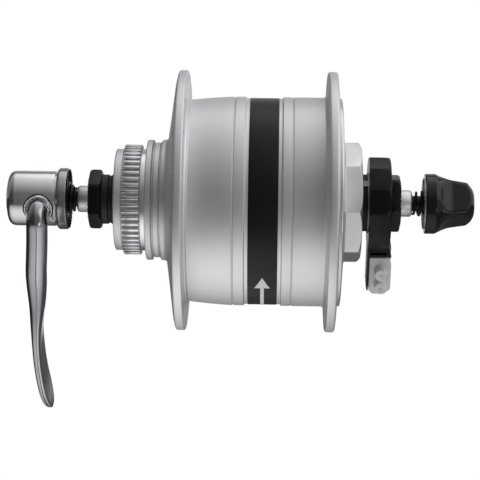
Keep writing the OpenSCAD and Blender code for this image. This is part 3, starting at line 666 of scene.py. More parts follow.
class SpringTree(PieceTree):
    """Tree that winds a conical spring along X."""

    turns: float = 3.5
    wire_r: float = 0.45
    tip_r: float = 3.35
    start_x: float = 54.5

    def __init__(self) -> None:
        """Build the tree."""
        sizes = ("Turns", "Small radius", "Large radius", "Length", "Wire radius", "Start", "Side")
        super().__init__("conical_spring", dict.fromkeys(sizes, "Float"))
        add, given = self.add, self.given
        spiral = add(
            "GeometryNodeCurveSpiral",
            {
                "Resolution": 48,
                "Rotations": given["Turns"],
                "Start Radius": given["Small radius"],
                "End Radius": given["Large radius"],
                "Height": given["Length"],
            },
        )
        section = add("GeometryNodeCurvePrimitiveCircle", {"Resolution": 16, "Radius": given["Wire radius"]})
        swept = {"Curve": spiral, "Profile Curve": section, "Fill Caps": True}
        wire = add("GeometryNodeCurveToMesh", swept)
        half_turn = add("ShaderNodeMath", {0: given["Side"], 1: math.pi / 2}, operation="MULTIPLY")
        turn = add("ShaderNodeCombineXYZ", {"Y": half_turn})
        shift = add("ShaderNodeCombineXYZ", {"X": given["Start"]})
        moved = {"Geometry": wire, "Translation": shift, "Rotation": turn}
        self.close(add("GeometryNodeTransform", moved))

    def make(self, name: str, side: int, length: float, large_r: float) -> Piece:
        """Wind a spring outwards from an axle tip.

        Args:
            name: name of the spring.
            side: -1 on the left, 1 on the right.
            length: axial length between the wire's end centres.
            large_r: radius of the coil at the far end.

        Returns:
            The spring.
        """
        values = {
            "Turns": self.turns,
            "Small radius": self.tip_r * MM,
            "Large radius": large_r * MM,
            "Length": length * MM,
            "Wire radius": self.wire_r * MM,
            "Start": side * self.start_x * MM,
            "Side": float(side),
            "Finish": Finishes.SPRING.material(),
        }
        return self.run(name, values)


@dataclass
class HubShell:
    """Barrel, spoke flanges, disc mount and printed band."""

    rings: RingTree
    flange_r: float = 42.0
    left_rim: Point = (-21.25, -18.4)
    right_rim: Point = (26.3, 29.5)
    barrel_r: float = 33.7
    root_r: float = 32.6
    bore_r: float = 31.0
    mount_x: float = -41.4
    mount_r: float = 16.4
    neck_r: float = 16.25
    stop_r: float = 19.45
    spline_x: Point = (-38.6, -33.1)
    spline_r: Point = (16.5, 17.8)
    spline_teeth: int = 52
    spoke_holes: int = 18
    spoke_r: Point = (39.0, 38.4)
    hole_r: float = 1.3
    label_x: Point = (1.55, 10.85)
    label_r: Point = (33.2, 33.35)

    def outline(self) -> list[Point]:
        """Return the section of the shell as x and radius."""
        left, inner = self.left_rim
        near, far = self.right_rim
        first, last = self.spline_x
        top, root, wall, stop = self.flange_r, self.root_r, self.barrel_r, self.stop_r
        mount = [
            (self.mount_x, 14.6, 0.2), (self.mount_x, self.mount_r, 0.55), (-38.95, self.mount_r, 0.12),
            (-38.9, 16.0, 0.0), (first - 0.05, 16.0, 0.0), (first, 16.7, 0.0), (last, 16.7, 0.0),
            (last + 0.05, self.neck_r, 0.0), (-31.35, self.neck_r, 0.2), (-31.3, stop, 0.45),
            (-29.3, stop, 0.4), (-29.2, 18.0, 0.1), (-28.8, 18.0, 0.1), (-28.75, 18.6, 0.25),
            (-27.0, 18.6, 0.25), (-26.95, 18.1, 0.0), (-26.75, 18.1, 0.0), (-26.7, stop, 0.7),
        ]
        flange = [
            (-24.6, 19.6, 1.4), (-23.2, 29.3, 3.0), (-21.85, 39.5, 0.6), (left, top, 0.8), (inner, top, 0.7),
            (inner, root + 1.0, 0.5), (inner + 0.6, root + 0.75, 0.25), (inner + 1.1, root, 0.3),
        ]
        barrel = [
            (-14.0, root + 0.35, 1.5), (-10.0, root + 0.7, 1.5), (-6.5, root + 0.95, 1.0),
            (-3.55, wall, 0.1), (-3.3, wall - 0.35, 0.1), (-2.85, wall, 0.12),
            (0.25, wall, 0.25), (0.5, wall - 0.5, 0.2), (11.9, wall - 0.5, 0.2), (12.2, wall, 0.25),
            (15.0, wall, 0.12), (15.35, wall - 0.35, 0.1), (15.65, wall, 0.12),
            (near - 0.9, wall, 0.7), (near, wall + 1.2, 0.6), (near, top, 0.9), (far, top, 0.9),
        ]
        inside = [
            (far, self.bore_r, 0.0), (-18.1, self.bore_r, 1.0), (-18.1, 10.2, 0.3), (-29.6, 10.2, 0.0),
            (-29.6, 12.5, 0.0), (-38.2, 12.5, 0.0), (-38.2, 14.6, 0.0),
        ]
        return rounded(mount + flange + barrel + inside)

    def drills(self, name: str, x: Point, radius: float, start_deg: float) -> Piece:
        """Make the drills for one flange's spoke holes, flared where they break the faces.

        Args:
            name: name of the tool.
            x: the flange's two faces at the holes.
            radius: radius of the circle of holes.
            start_deg: turn of the first hole.

        Returns:
            The ring of drills.
        """
        flare = self.hole_r + 1.45
        left, right = x[0] - 1.0, x[1] + 1.0
        outline = [
            (left, 0.0), (left, flare), (x[0] + 0.45, self.hole_r),
            (x[1] - 0.45, self.hole_r), (right, flare), (right, 0.0),
        ]
        drill = lathe(name + "_drill", outline, 24)
        drill.data.transform(Matrix.Translation((0, 0, radius * MM)))
        return self.rings.make(name, drill, self.spoke_holes, start_deg, Finishes.CUT)

    def body(self) -> None:
        """Turn the shell and drill its flanges."""
        shell = lathe("shell_body", self.outline(), 288)
        half_pitch = 180 / self.spoke_holes
        left = self.drills("left_drills", (-21.9, self.left_rim[1]), self.spoke_r[0], 0.0)
        combine(shell, left, Change.CUT)
        right = self.drills("right_drills", self.right_rim, self.spoke_r[1], half_pitch)
        combine(shell, right, Change.CUT)
        crease(shell, 38.0)
        dress(shell, Finishes.SHELL, Body.SHELL, "hub_shell")

    def spline(self) -> None:
        """Cut the teeth that the brake disc slides on."""
        root, tip = self.spline_r
        pitch = 2 * math.pi * root / self.spline_teeth
        wide, narrow = pitch * 0.36, pitch * 0.26
        section = [(-wide, root), (-narrow, tip), (narrow, tip), (wide, root)]
        tooth = extrude("spline_tooth", section, lambda u, v, w: (w, u, v), *self.spline_x)
        bevelled(tooth, 0.22, 2)
        ring = self.rings.make("disc_spline", tooth, self.spline_teeth, 0.0, Finishes.CUT)
        crease(ring, 40.0)
        dress(ring, Finishes.CUT, Body.SHELL)

    def mount_neck(self) -> None:
        """Add the bright turned neck between the spline and the disc's stop."""
        x0, x1 = self.spline_x[1] + 0.06, -31.36
        low, high = 15.9, self.neck_r + 0.2
        outline = rounded([(x0, low, 0.0), (x1, low, 0.0), (x1, high, 0.15), (x0, high, 0.15)])
        dress(lathe("mount_neck", outline), Finishes.CUT, Body.SHELL)

    def label(self) -> None:
        """Wrap the black film round the barrel and print its rotation arrow."""
        x0, x1 = self.label_x
        low, high = self.label_r
        outline = rounded([(x0, low, 0.0), (x1, low, 0.0), (x1, high, 0.05), (x0, high, 0.05)], 3)
        band = lathe("label_film_band", outline, 288)
        dress(band, Finishes.FILM, Body.SHELL, "label_band")
        head = [(-46.9, 0.02), (-51.4, 1.24), (-55.9, 2.45)]
        shaft = [(-56.0, 0.56), (-66.0, 0.56), (-77.0, 0.56), (-88.0, 0.56)]
        for name, slices in (("arrow_head", head), ("arrow_shaft", shaft)):
            mark = self.printed(name, (x0 + x1) / 2, slices)
            dress(mark, Finishes.INK, Body.SHELL)

    def printed(self, name: str, middle: float, slices: Sequence[Point]) -> Piece:
        """Lay a thin printed shape on the band.

        Args:
            name: piece name.
            middle: x of the shape's centre line.
            slices: angle above the camera's side and half width, along the shape.

        Returns:
            The printed shape.
        """
        steps = 6
        rows: list[Point] = []
        for (a0, w0), (a1, w1) in zip(slices, slices[1:]):
            rows += [(a0 + (a1 - a0) * k / steps, w0 + (w1 - w0) * k / steps) for k in range(steps)]
        rows.append(slices[-1])
        low = self.label_r[1]
        high = low + 0.03
        rings = []
        for degrees, half in rows:
            section = ((-half, low), (half, low), (half, high), (-half, high))
            rings.append([about_axle(middle + x, r, math.radians(degrees)) for x, r in section])
        return loft(name, rings)

    def build(self) -> None:
        """Build and dress the shell."""
        self.body()
        self.spline()
        self.mount_neck()
        self.label()


@dataclass
class EndCap:
    """Cap with an octagon that closes the shell on the right."""

    rim_x: Point = (29.5, 31.0)
    rim_r: float = 33.6
    face_x: float = 37.5
    octagon_af: float = 36.0
    octagon_turn: float = 35.0
    spigot_x: float = 23.6
    spigot_r: float = 31.0
    bore_r: float = 9.2
    seat_x: float = 29.2
    seat_r: float = 12.5

    def build(self) -> None:
        """Build and dress the cap."""
        x0, x1 = self.rim_x
        face, bore = self.face_x, self.bore_r
        corner = self.octagon_af / 2 / math.cos(math.pi / 8)
        section = [
            (self.spigot_x, bore, 0.0), (self.spigot_x, self.spigot_r, 0.3), (x0, self.spigot_r, 0.0),
            (x0, self.rim_r, 0.25), (x1, self.rim_r, 0.6), (x1 + 0.9, corner + 0.9, 0.3),
            (x1 + 1.1, corner + 0.5, 0.2), (x1 + 1.1, bore, 0.0),
        ]
        plate = lathe("end_cap_body", rounded(section), 224)
        octagon = prism("octagon", 8, self.octagon_af, self.octagon_turn, (x1 + 0.6, face))
        chamfer = [
            (x1 + 0.2, 0.0), (x1 + 0.2, corner + 0.3), (face - 1.3, corner + 0.3),
            (face - 0.6, corner - 0.6), (face + 0.2, corner - 2.0), (face + 0.2, 0.0),
        ]
        combine(octagon, lathe("octagon_turn", chamfer, 224), Change.TRIM)
        combine(plate, octagon, Change.ADD)
        end = face + 1
        seat = [(self.seat_x, 0.0), (self.seat_x, self.seat_r), (end, self.seat_r), (end, 0.0)]
        combine(plate, lathe("cup_seat", seat, 96), Change.CUT)
        bevelled(plate, 0.22, 2, 24.0)
        crease(plate, 30.0)
        dress(plate, Finishes.CAP, Body.SHELL, "end_cap")


@dataclass
class AxleSet:
    """Axle, locknuts and dust caps."""

    rings: RingTree
    locknut_af: float = 17.0
    corner_r: float = 9.55
    axle_r: float = 4.9
    tip_r: float = 4.3
    tip_x: float = 54.0
    face_x: float = 50.0
    cap_bore_r: float = 6.4
    knurl_ridges: int = 30

    def axle(self) -> None:
        """Turn the hollow axle."""
        tip, face, r = self.tip_x, self.face_x, self.tip_r
        end = [(tip, 2.9), (tip, 3.7), (53.7, 4.1), (53.3, r), (face + 0.05, r), (face, self.axle_r)]
        outline = [(-x, r) for x, r in end] + end[::-1]
        dress(lathe("axle_tube", outline, 96), Finishes.PLATED, Body.AXLE, "axle")

    def locknut(self, name: str, x: Point, turn_deg: float, face: float) -> None:
        """Make one black locknut with a knurled clamping face.

        Args:
            name: CAD node that it stands for.
            x: left and right face.
            turn_deg: angle of one corner above the camera's side.
            face: x of the clamping face.
        """
        nut = prism(name + "_hex", 6, self.locknut_af, turn_deg, x)
        x0, x1 = x
        top, bore = self.corner_r, self.axle_r
        turned = rounded([(x0, bore, 0), (x0, top, 1.1), (x1, top, 1.1), (x1, bore, 0)], 6)
        combine(nut, lathe("nut_turn", turned), Change.TRIM)
        bevelled(nut, 0.25, 3, 28.0)
        dress(nut, Finishes.BLACK_STEEL, Body.AXLE, name)
        section = [(-0.32, 0.0), (0.0, math.copysign(0.35, face)), (0.32, 0.0)]
        ridge = extrude("knurl", section, lambda u, v, w: (face + v, u, w), 4.5, 7.3)
        knurl = self.rings.make(name + "_knurl", ridge, self.knurl_ridges, 0.0, Finishes.BLACK_STEEL)
        dress(knurl, Finishes.BLACK_STEEL, Body.AXLE)

    def caps(self) -> None:
        """Turn the two dust caps."""
        bore = self.cap_bore_r
        left = [
            (-46.0, bore, 0.0), (-46.0, 8.0, 0.3), (-43.9, 8.0, 0.25), (-43.6, 7.6, 0.2),
            (-43.2, 7.65, 0.3), (-41.7, 8.7, 0.3), (-41.0, 8.7, 0.2), (-41.0, bore, 0.0),
        ]
        right = [(37.8, bore, 0.0), (37.8, 9.2, 0.25), (39.5, 9.2, 0.25), (39.5, bore, 0.0)]
        for name, section, node in (
            ("left_cap_boot", left, "left_dust_cap"),
            ("right_cap_ring", right, "right_dust_cap"),
        ):
            dress(lathe(name, rounded(section)), Finishes.RUBBER, Body.AXLE, node)

    def build(self) -> None:
        """Build and dress the axle's pieces."""
        face = self.face_x
        self.axle()
        self.locknut("left_locknut", (-face, -46.0), -35.0, -face)
        self.locknut("right_locknut", (46.9, face), 47.0, face)
        self.caps()


@dataclass
class Connector:
    """Twelve-sided terminal housing with its arm, and the plug with two wire posts."""

    ring_x: Point = (39.9, 46.9)
    ring_r: float = 15.1
    axle_r: float = 4.9
    arm_half_y: float = 4.7
    plug_x: Point = (40.9, 48.0)
    plug_y: Point = (-5.0, -1.0)
    plug_z: Point = (-30.4, -17.4)
    plug_cut: float = 2.0
    post_x: float = 44.5
    post_z: Point = (-21.6, -26.35)
    post_r: float = 2.0
    post_l: float = 4.5

    def housing(self) -> None:
        """Build the ring and the arm that holds the plug."""
        x0, x1 = self.ring_x
        r, end, half = self.ring_r, self.plug_x[1], self.arm_half_y
        ring = prism("terminal_body", 12, 2 * r * math.cos(math.pi / 12), 15.0, self.ring_x)
        section = [
            (x0, 0.0, 0.0), (x0, r + 0.05, 0.8), (x0 + 4.2, r + 0.05, 1.0), (x1, r - 0.35, 1.0),
            (x1, 0.0, 0.0),
        ]
        combine(ring, lathe("ring_turn", rounded(section)), Change.TRIM)
        top, foot = self.plug_z[1] + 0.2, self.plug_z[0] - 0.6
        wall, inner = x0 + 0.2, self.plug_x[0] - 0.2
        front, back = self.plug_y[0] + 0.6, self.plug_y[1] + 0.2
        neck = [(wall, -9.8), (x1 - 0.5, -9.8), (x1 + 0.2, -13.1), (end, top), (wall, top)]
        combine(ring, extrude("arm_neck", neck, front_on, -half, half), Change.ADD)
        recess = [(41.0, -10.6), (46.0, -10.6), (46.4, top + 0.7), (41.0, top + 0.7)]
        combine(ring, extrude("neck_recess", recess, front_on, -half - 3.0, -half + 1.2), Change.CUT)
        pocket = [
            (wall, front), (inner, front), (inner, back), (end, back), (end, half + 0.2),
            (wall, half + 0.2),
        ]
        combine(ring, extrude("arm_pocket", pocket, from_above, foot, top + 2.0), Change.ADD)
        heel = [(wall - 1.0, foot - 1.0), (wall + 3.0, foot - 1.0), (wall - 1.0, foot + 3.0)]
        combine(ring, extrude("arm_heel", heel, front_on, -2 * half, half + 1.0), Change.CUT)
        hole = [(x0 - 1, 0), (x0 - 1, self.axle_r), (x1 + 1, self.axle_r), (x1 + 1, 0)]
        combine(ring, lathe("axle_hole", hole, 96), Change.CUT)
        bevelled(ring, 0.3, 3, 20.0)
        dress(ring, Finishes.BLACK_NYLON, Body.AXLE, "terminal_housing")

    def plug(self) -> None:
        """Build the plug and its two wire posts."""
        x0, x1 = self.plug_x
        low, high = self.plug_z
        cut = self.plug_cut
        face = [
            (x0, low + 1.2), (x0 + 1.2, low), (x1 - cut, low), (x1, low + cut),
            (x1, high - cut), (x1 - cut, high), (x0, high),
        ]
        plug = extrude("plug_body", face, front_on, *self.plug_y)
        bevelled(plug, 0.35, 3, 25.0)
        for z in self.post_z:
            combine(plug, self.post(z), Change.ADD)
        crease(plug, 35.0)
        dress(plug, Finishes.GREY_PBT, Body.PLUG, "connector_plug")

    def post(self, z: float) -> Piece:
        """Turn one wire post with a hollow end, at a height in the leaning frame."""
        r, tiny = self.post_r, 0.01
        front = self.plug_y[0]
        end = front - self.post_l
        stations = [
            (front + 1.0, tiny), (front + 1.0, r + 0.1), (front, r + 0.1), (end + 0.35, r),
            (end + 0.1, r - 0.12), (end, r - 0.4), (end, 1.2), (end + 0.22, 1.05), (end + 0.22, 0.5),
            (end + 0.6, 0.42), (end + 0.6, tiny),
        ]
        return leaning_turn("plug_post", self.post_x, z, stations, 40, 35.0)

    def build(self) -> None:
        """Build and dress the connector."""
        self.housing()
        self.plug()


@dataclass
class QuickRelease:
    """Lever with its cam, the domed housing, the serrated collar and the left spring."""

    rings: RingTree
    springs: SpringTree
    pivot_x: float = -65.9
    housing_x: Point = (-77.2, -59.9)
    housing_r: float = 8.9
    housing_bore_r: float = 7.05
    housing_floor_x: float = -71.4
    collar_x: Point = (-60.4, -56.5)
    collar_r: float = 9.95
    collar_bore_r: float = 2.9
    collar_hollow_r: float = 6.9
    collar_teeth: int = 36
    journal_r: float = 4.5
    arm_r: float = 3.43
    reach: float = 69.7
    paddle_half: Point = (1.85, 7.0)
    paddle_depth: Point = (0.3, 0.69)
    tip_depth: float = 0.88
    bow: float = 2.1
    bow_depth: float = 0.925
    jog: float = 1.05
    jog_depth: Point = (18.0, 34.0)

    def housing(self) -> None:
        """Turn the domed housing and bore it for the cam shaft."""
        x0, x1 = self.housing_x
        groove = self.collar_x[0]
        r, bore, floor = self.housing_r, self.housing_bore_r, self.housing_floor_x
        section = [
            (x0, 0.0, 0.0), (x0 + 0.45, 4.4, 4.0), (x0 + 1.5, r, 4.6), (groove - 0.45, r, 0.2),
            (groove - 0.4, r - 0.7, 0.0), (x1, r - 0.7, 0.0), (x1, bore, 0.0), (floor, bore, 0.3),
            (floor, 0.0, 0.0),
        ]
        body = lathe("lever_body_dome", rounded(section, 10), 192)
        room = self.journal_r + 0.32
        stations = [(-12.0, 6.2), (-8.6, room), (0.0, room)]
        combine(body, leaning_turn("cam_bore", self.pivot_x, 0.0, stations, 64), Change.CUT)
        crease(body, 30.0)
        dress(body, Finishes.POLISHED, Body.LEVER_BODY, "lever_housing")

    def collar(self) -> None:
        """Turn the collar, its black clamping face and the teeth of that face."""
        x0, x1 = self.collar_x
        r, bore, hollow = self.collar_r, self.collar_bore_r, self.collar_hollow_r
        section = [
            (x0, bore, 0.0), (x0, r - 0.9, 0.3), (x0 + 0.7, r, 0.7), (x1 - 0.65, r, 0.3),
            (x1 - 0.42, r - 0.28, 0.12), (x1 - 0.42, r - 0.38, 0.0), (x1 - 0.75, r - 0.42, 0.0),
            (x1 - 0.75, hollow, 0.1), (x0 + 1.3, hollow, 0.3), (x0 + 1.3, bore, 0.0),
        ]
        ring = lathe("collar_ring", rounded(section, 6))
        # The collar's tone is partly painted shade: darker than its plating, for the light that the lever arm
        # blocks.
        dress(ring, Finishes.NICKEL_AND_PAINTED_SHADE, Body.LEVER_BODY, "lever_collar")
        low, high = x1 - 0.74, x1 - 0.12
        face = [(low, 6.85), (high, 6.95), (high, r - 0.5), (x1 - 0.25, r - 0.4), (low, r - 0.4)]
        dress(lathe("collar_bite", face), Finishes.BLACK_STEEL, Body.LEVER_BODY)
        profile = [(-0.5, -0.3), (0.0, 0.2), (0.5, -0.3)]
        tooth = extrude("collar_tooth", profile, lambda u, v, w: (x1 - 0.2 + v, u, w), 6.95, r - 0.42)
        teeth = self.rings.make("collar_teeth", tooth, self.collar_teeth, 0.0, Finishes.BLACK_STEEL)
        dress(teeth, Finishes.BLACK_STEEL, Body.LEVER_BODY)

    def bow_at(self, depth: float) -> float:
        """Offset of the arm's centre line from the pivot at a depth below it."""
        along = depth / (self.bow_depth * self.reach)
        return self.jog * eased(depth, *self.jog_depth) - 6.75 * self.bow * along**2 * (1 - along)

    def halves(self, depth: float) -> Point:
        """Half widths of the arm along X and across it, at a depth below the pivot."""
        flat = eased(depth, *[share * self.reach for share in self.paddle_depth])
        tip = self.tip_depth * self.reach
        share = 1.0
        if depth > tip:
            share = max(0.02, 1 - ((depth - tip) / (self.reach - tip)) ** 2)
        half_x, half_y = [self.arm_r * (1 - flat) + half * flat for half in self.paddle_half]
        return half_x * share**0.22, half_y * share**0.5

    def arm(self) -> None:
        """Loft the lever from its round bend to its flat, dished paddle."""
        r, bend_r = self.arm_r, self.arm_r + 0.15
        start = self.housing_r + 0.15
        arm_y = -(start + 0.2 + bend_r)
        around = [(math.cos(a), math.sin(a)) for a in angles(48)]
        rings: list[list[Point3]] = []
        for y in (-start + 0.8, -start):
            rings.append([leaned((self.pivot_x + r * c, y, -r * s)) for c, s in around])
        bends, steps = 14, 70
        for i in range(bends):
            turn = math.radians(90 * i / bends)
            ring = []
            for c, s in around:
                span = bend_r - r * s
                y = arm_y + bend_r - span * math.sin(turn)
                ring.append(leaned((self.pivot_x + r * c, y, -bend_r + span * math.cos(turn))))
            rings.append(ring)
        for i in range(steps + 1):
            depth = bend_r + (self.reach - bend_r) * (1 - (1 - i / steps) ** 1.5)
            half_x, half_y = self.halves(depth)
            flat = 1 - (half_x - self.paddle_half[0]) / (r - self.paddle_half[0])
            flat = min(1.0, max(0.0, flat))
            power = 1.0 - 0.35 * flat
            ring = []
            for c, s in around:
                x = math.copysign(abs(c) ** power, c) * half_x
                if c > 0:
                    x *= 1 - 0.45 * flat * c
                y = math.copysign(abs(s) ** power, s) * half_y
                ring.append(leaned((self.pivot_x + self.bow_at(depth) + x, arm_y + y, -depth)))
            rings.append(ring)
        # The arm's darker tone than the housing is painted shade.
        dress(loft("lever_rod", rings, 50.0), Finishes.SATIN_PAINTED_SHADE, Body.LEVER, "lever_arm")

    def journal(self) -> None:
        """Turn the cam shaft's journal that shows round the arm's root."""
        front, r = -(self.housing_r + 0.15), self.journal_r
        stations = [(-3.0, r), (front + 0.35, r), (front + 0.1, r - 0.1), (front, r - 0.35), (front, 2.0)]
        journal = leaning_turn("cam_journal", self.pivot_x, 0.0, stations, 64)
        dress(journal, Finishes.POLISHED, Body.LEVER)

    def build(self) -> None:
        """Build and dress the quick release, and wind the spring between the axle and the collar."""
        self.housing()
        self.collar()
        self.arm()
        self.journal()
        spring = self.springs.make("left_cone_spring", -1, 4.1, 6.2)
        dress(spring, Finishes.SPRING, Body.AXLE, "left_spring")


@dataclass
class SkewerNut:
    """Nut with its plastic cover, its serrated steel insert and the right spring."""

    rings: RingTree
    springs: SpringTree
    face_x: float = 57.6
    flats: int = 4
    flat_turn: float = 21.0
    flat_lean: float = 5.0
    flat_r: float = 6.2
    scoop_x: float = 67.0
    scoop_r: float = 5.0
    insert_r: float = 8.2
    core_x: float = 65.0
    core_r: float = 5.9
    hollow_r: float = 5.3
    insert_teeth: int = 36
    corners: Sequence[Point] = (
        (58.05, 9.4), (58.4, 9.7), (61.3, 9.7), (61.8, 9.52), (62.5, 9.12), (63.4, 8.8),
        (71.3, 7.3), (71.7, 7.1), (73.2, 5.3), (73.7, 4.4), (73.95, 3.6), (74.1, 2.4),
    )

    def corner(self, x: float) -> float:
        """Radius of the cover's corners at a distance along the axle."""
        for (x0, r0), (x1, r1) in zip(self.corners, self.corners[1:]):
            if x <= x1:
                return r0 + (r1 - r0) * max(0.0, x - x0) / (x1 - x0)
        return self.corners[-1][1]

    def flat(self, x: float) -> float:
        """Distance of the flats from the axle, scooped towards the skirt."""
        along = x - self.scoop_x
        lean = along * math.tan(math.radians(self.flat_lean))
        if along >= 0:
            return self.flat_r - lean
        rise = self.scoop_r**2 - along**2
        return self.flat_r - lean + self.scoop_r - math.sqrt(rise) if rise > 0.05 else 40.0

    def cover(self) -> None:
        """Loft the cover, round at the skirt and scooped to flats at the grip."""
        stations = [58.05, 58.2, 58.4, 59.5] + [60.9 + 0.25 * k for k in range(42)]
        stations += [71.5 + 0.2 * k for k in range(12)] + [73.95, 74.1]
        step = 2 * math.pi / self.flats
        sharp = 48.0
        rings = []
        for x in stations:
            corner, flat = self.corner(x), self.flat(x)
            ring = []
            for a in angles(256):
                off = (a - math.radians(self.flat_turn) + step / 2) % step - step / 2
                side = flat / math.cos(off)
                ring.append(about_axle(x, (corner**-sharp + side**-sharp) ** (-1 / sharp), a))
            rings.append(ring)
        cover = loft("nut_cap", rings)
        pocket = [
            (56.0, 0.0), (56.0, self.insert_r), (59.6, self.insert_r), (59.6, self.core_r),
            (self.core_x, self.core_r), (self.core_x, 2.9), (71.6, 2.9), (71.6, 0.0),
        ]
        combine(cover, lathe("nut_pocket", pocket, 96), Change.CUT)
        crease(cover, 34.0)
        dress(cover, Finishes.GLOSS_NYLON, Body.NUT, "nut_cover")

    def insert(self) -> None:
        """Turn the steel insert and cut the teeth of its clamping face."""
        x, r, core, hollow = self.face_x, self.insert_r, self.core_r, self.hollow_r
        section = [
            (x + 0.25, hollow, 0.1), (x + 0.25, r - 0.1, 0.0), (x + 0.35, r, 0.0), (x + 1.8, r, 0.0),
            (x + 1.8, core, 0.0), (self.core_x, core, 0.0), (self.core_x, 2.55, 0.0),
            (x + 3.9, 2.55, 0.2), (x + 3.9, hollow, 0.2),
        ]
        core_ring = lathe("nut_core", rounded(section, 4), 128)
        dress(core_ring, Finishes.PLATED, Body.NUT, "nut_insert")
        profile = [(-0.42, 0.3), (0.0, -0.24), (0.42, 0.3)]
        tooth = extrude("nut_tooth", profile, lambda u, v, w: (x + 0.24 + v, u, w), hollow + 0.05, r - 0.05)
        teeth = self.rings.make("nut_teeth", tooth, self.insert_teeth, 0.0, Finishes.PLATED)
        dress(teeth, Finishes.PLATED, Body.NUT)

    def spring(self) -> None:
        """Wind the spring that stretches between the axle's tip and the nut."""
        spring = self.springs.make("right_cone_spring", 1, 6.4, 4.6)
        paint(spring, Finishes.SPRING)
        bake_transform(spring)
        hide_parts("right_spring")
        LOG.info("%s stretches between the axle tip and the nut", spring.name)

    def build(self) -> None:
        """Build and dress the nut."""
        self.cover()
        self.insert()
        self.spring()


class Inside:
    """CAD nodes that keep their shape and only get a finish."""

    NODES: dict[Finish, Sequence[str]] = {
        Finishes.GROUND: (
            "left_cone", "right_cone", "left_cup", "right_cup", "left_balls", "right_balls",
        ),
        Finishes.BRASS: ("left_ball_cage", "right_ball_cage", "terminal_contacts"),
        Finishes.RUBBER: ("left_seal", "right_seal", "cap_gasket"),
        Finishes.IRON: (
            "tab_washer", "stator_core", "left_claw_yoke", "right_claw_yoke", "back_iron_ring",
        ),
        Finishes.FERRITE: ("rotor_magnets",),
        Finishes.NYLON: ("coil_bobbin",),
        Finishes.COPPER: ("coil_winding", "lead_wire"),
        Finishes.PLATED: ("stator_nuts", "lever_cam"),
        # The skewer rod gets painted shade: near black, for the shade inside the springs.
        Finishes.ROD_PAINTED_SHADE: ("skewer_rod",),
    }

    def dress(self, nodes: dict[str, Piece]) -> None:
        """Give each node its finish.

        Args:
            nodes: CAD node objects by name.
        """
        for finish, names in self.NODES.items():
            for name in names:
                paint(nodes[name], finish)
                LOG.info("%s keeps its CAD shape in %s", name, finish.name)


def fill_ramp(node: bpy.types.Node, stops: Sequence[Point]) -> None:
    """Give a colour ramp its grey stops.

    Args:
        node: the ramp's node.
        stops: place from 0 to 1 and level of each stop, in order.
    """
    elements = node.color_ramp.elements
    for place, level in stops:
        stop = elements.new(place)
        stop.color = (level, level, level, 1.0)
    elements.remove(elements[0])
    elements.remove(elements[-1])


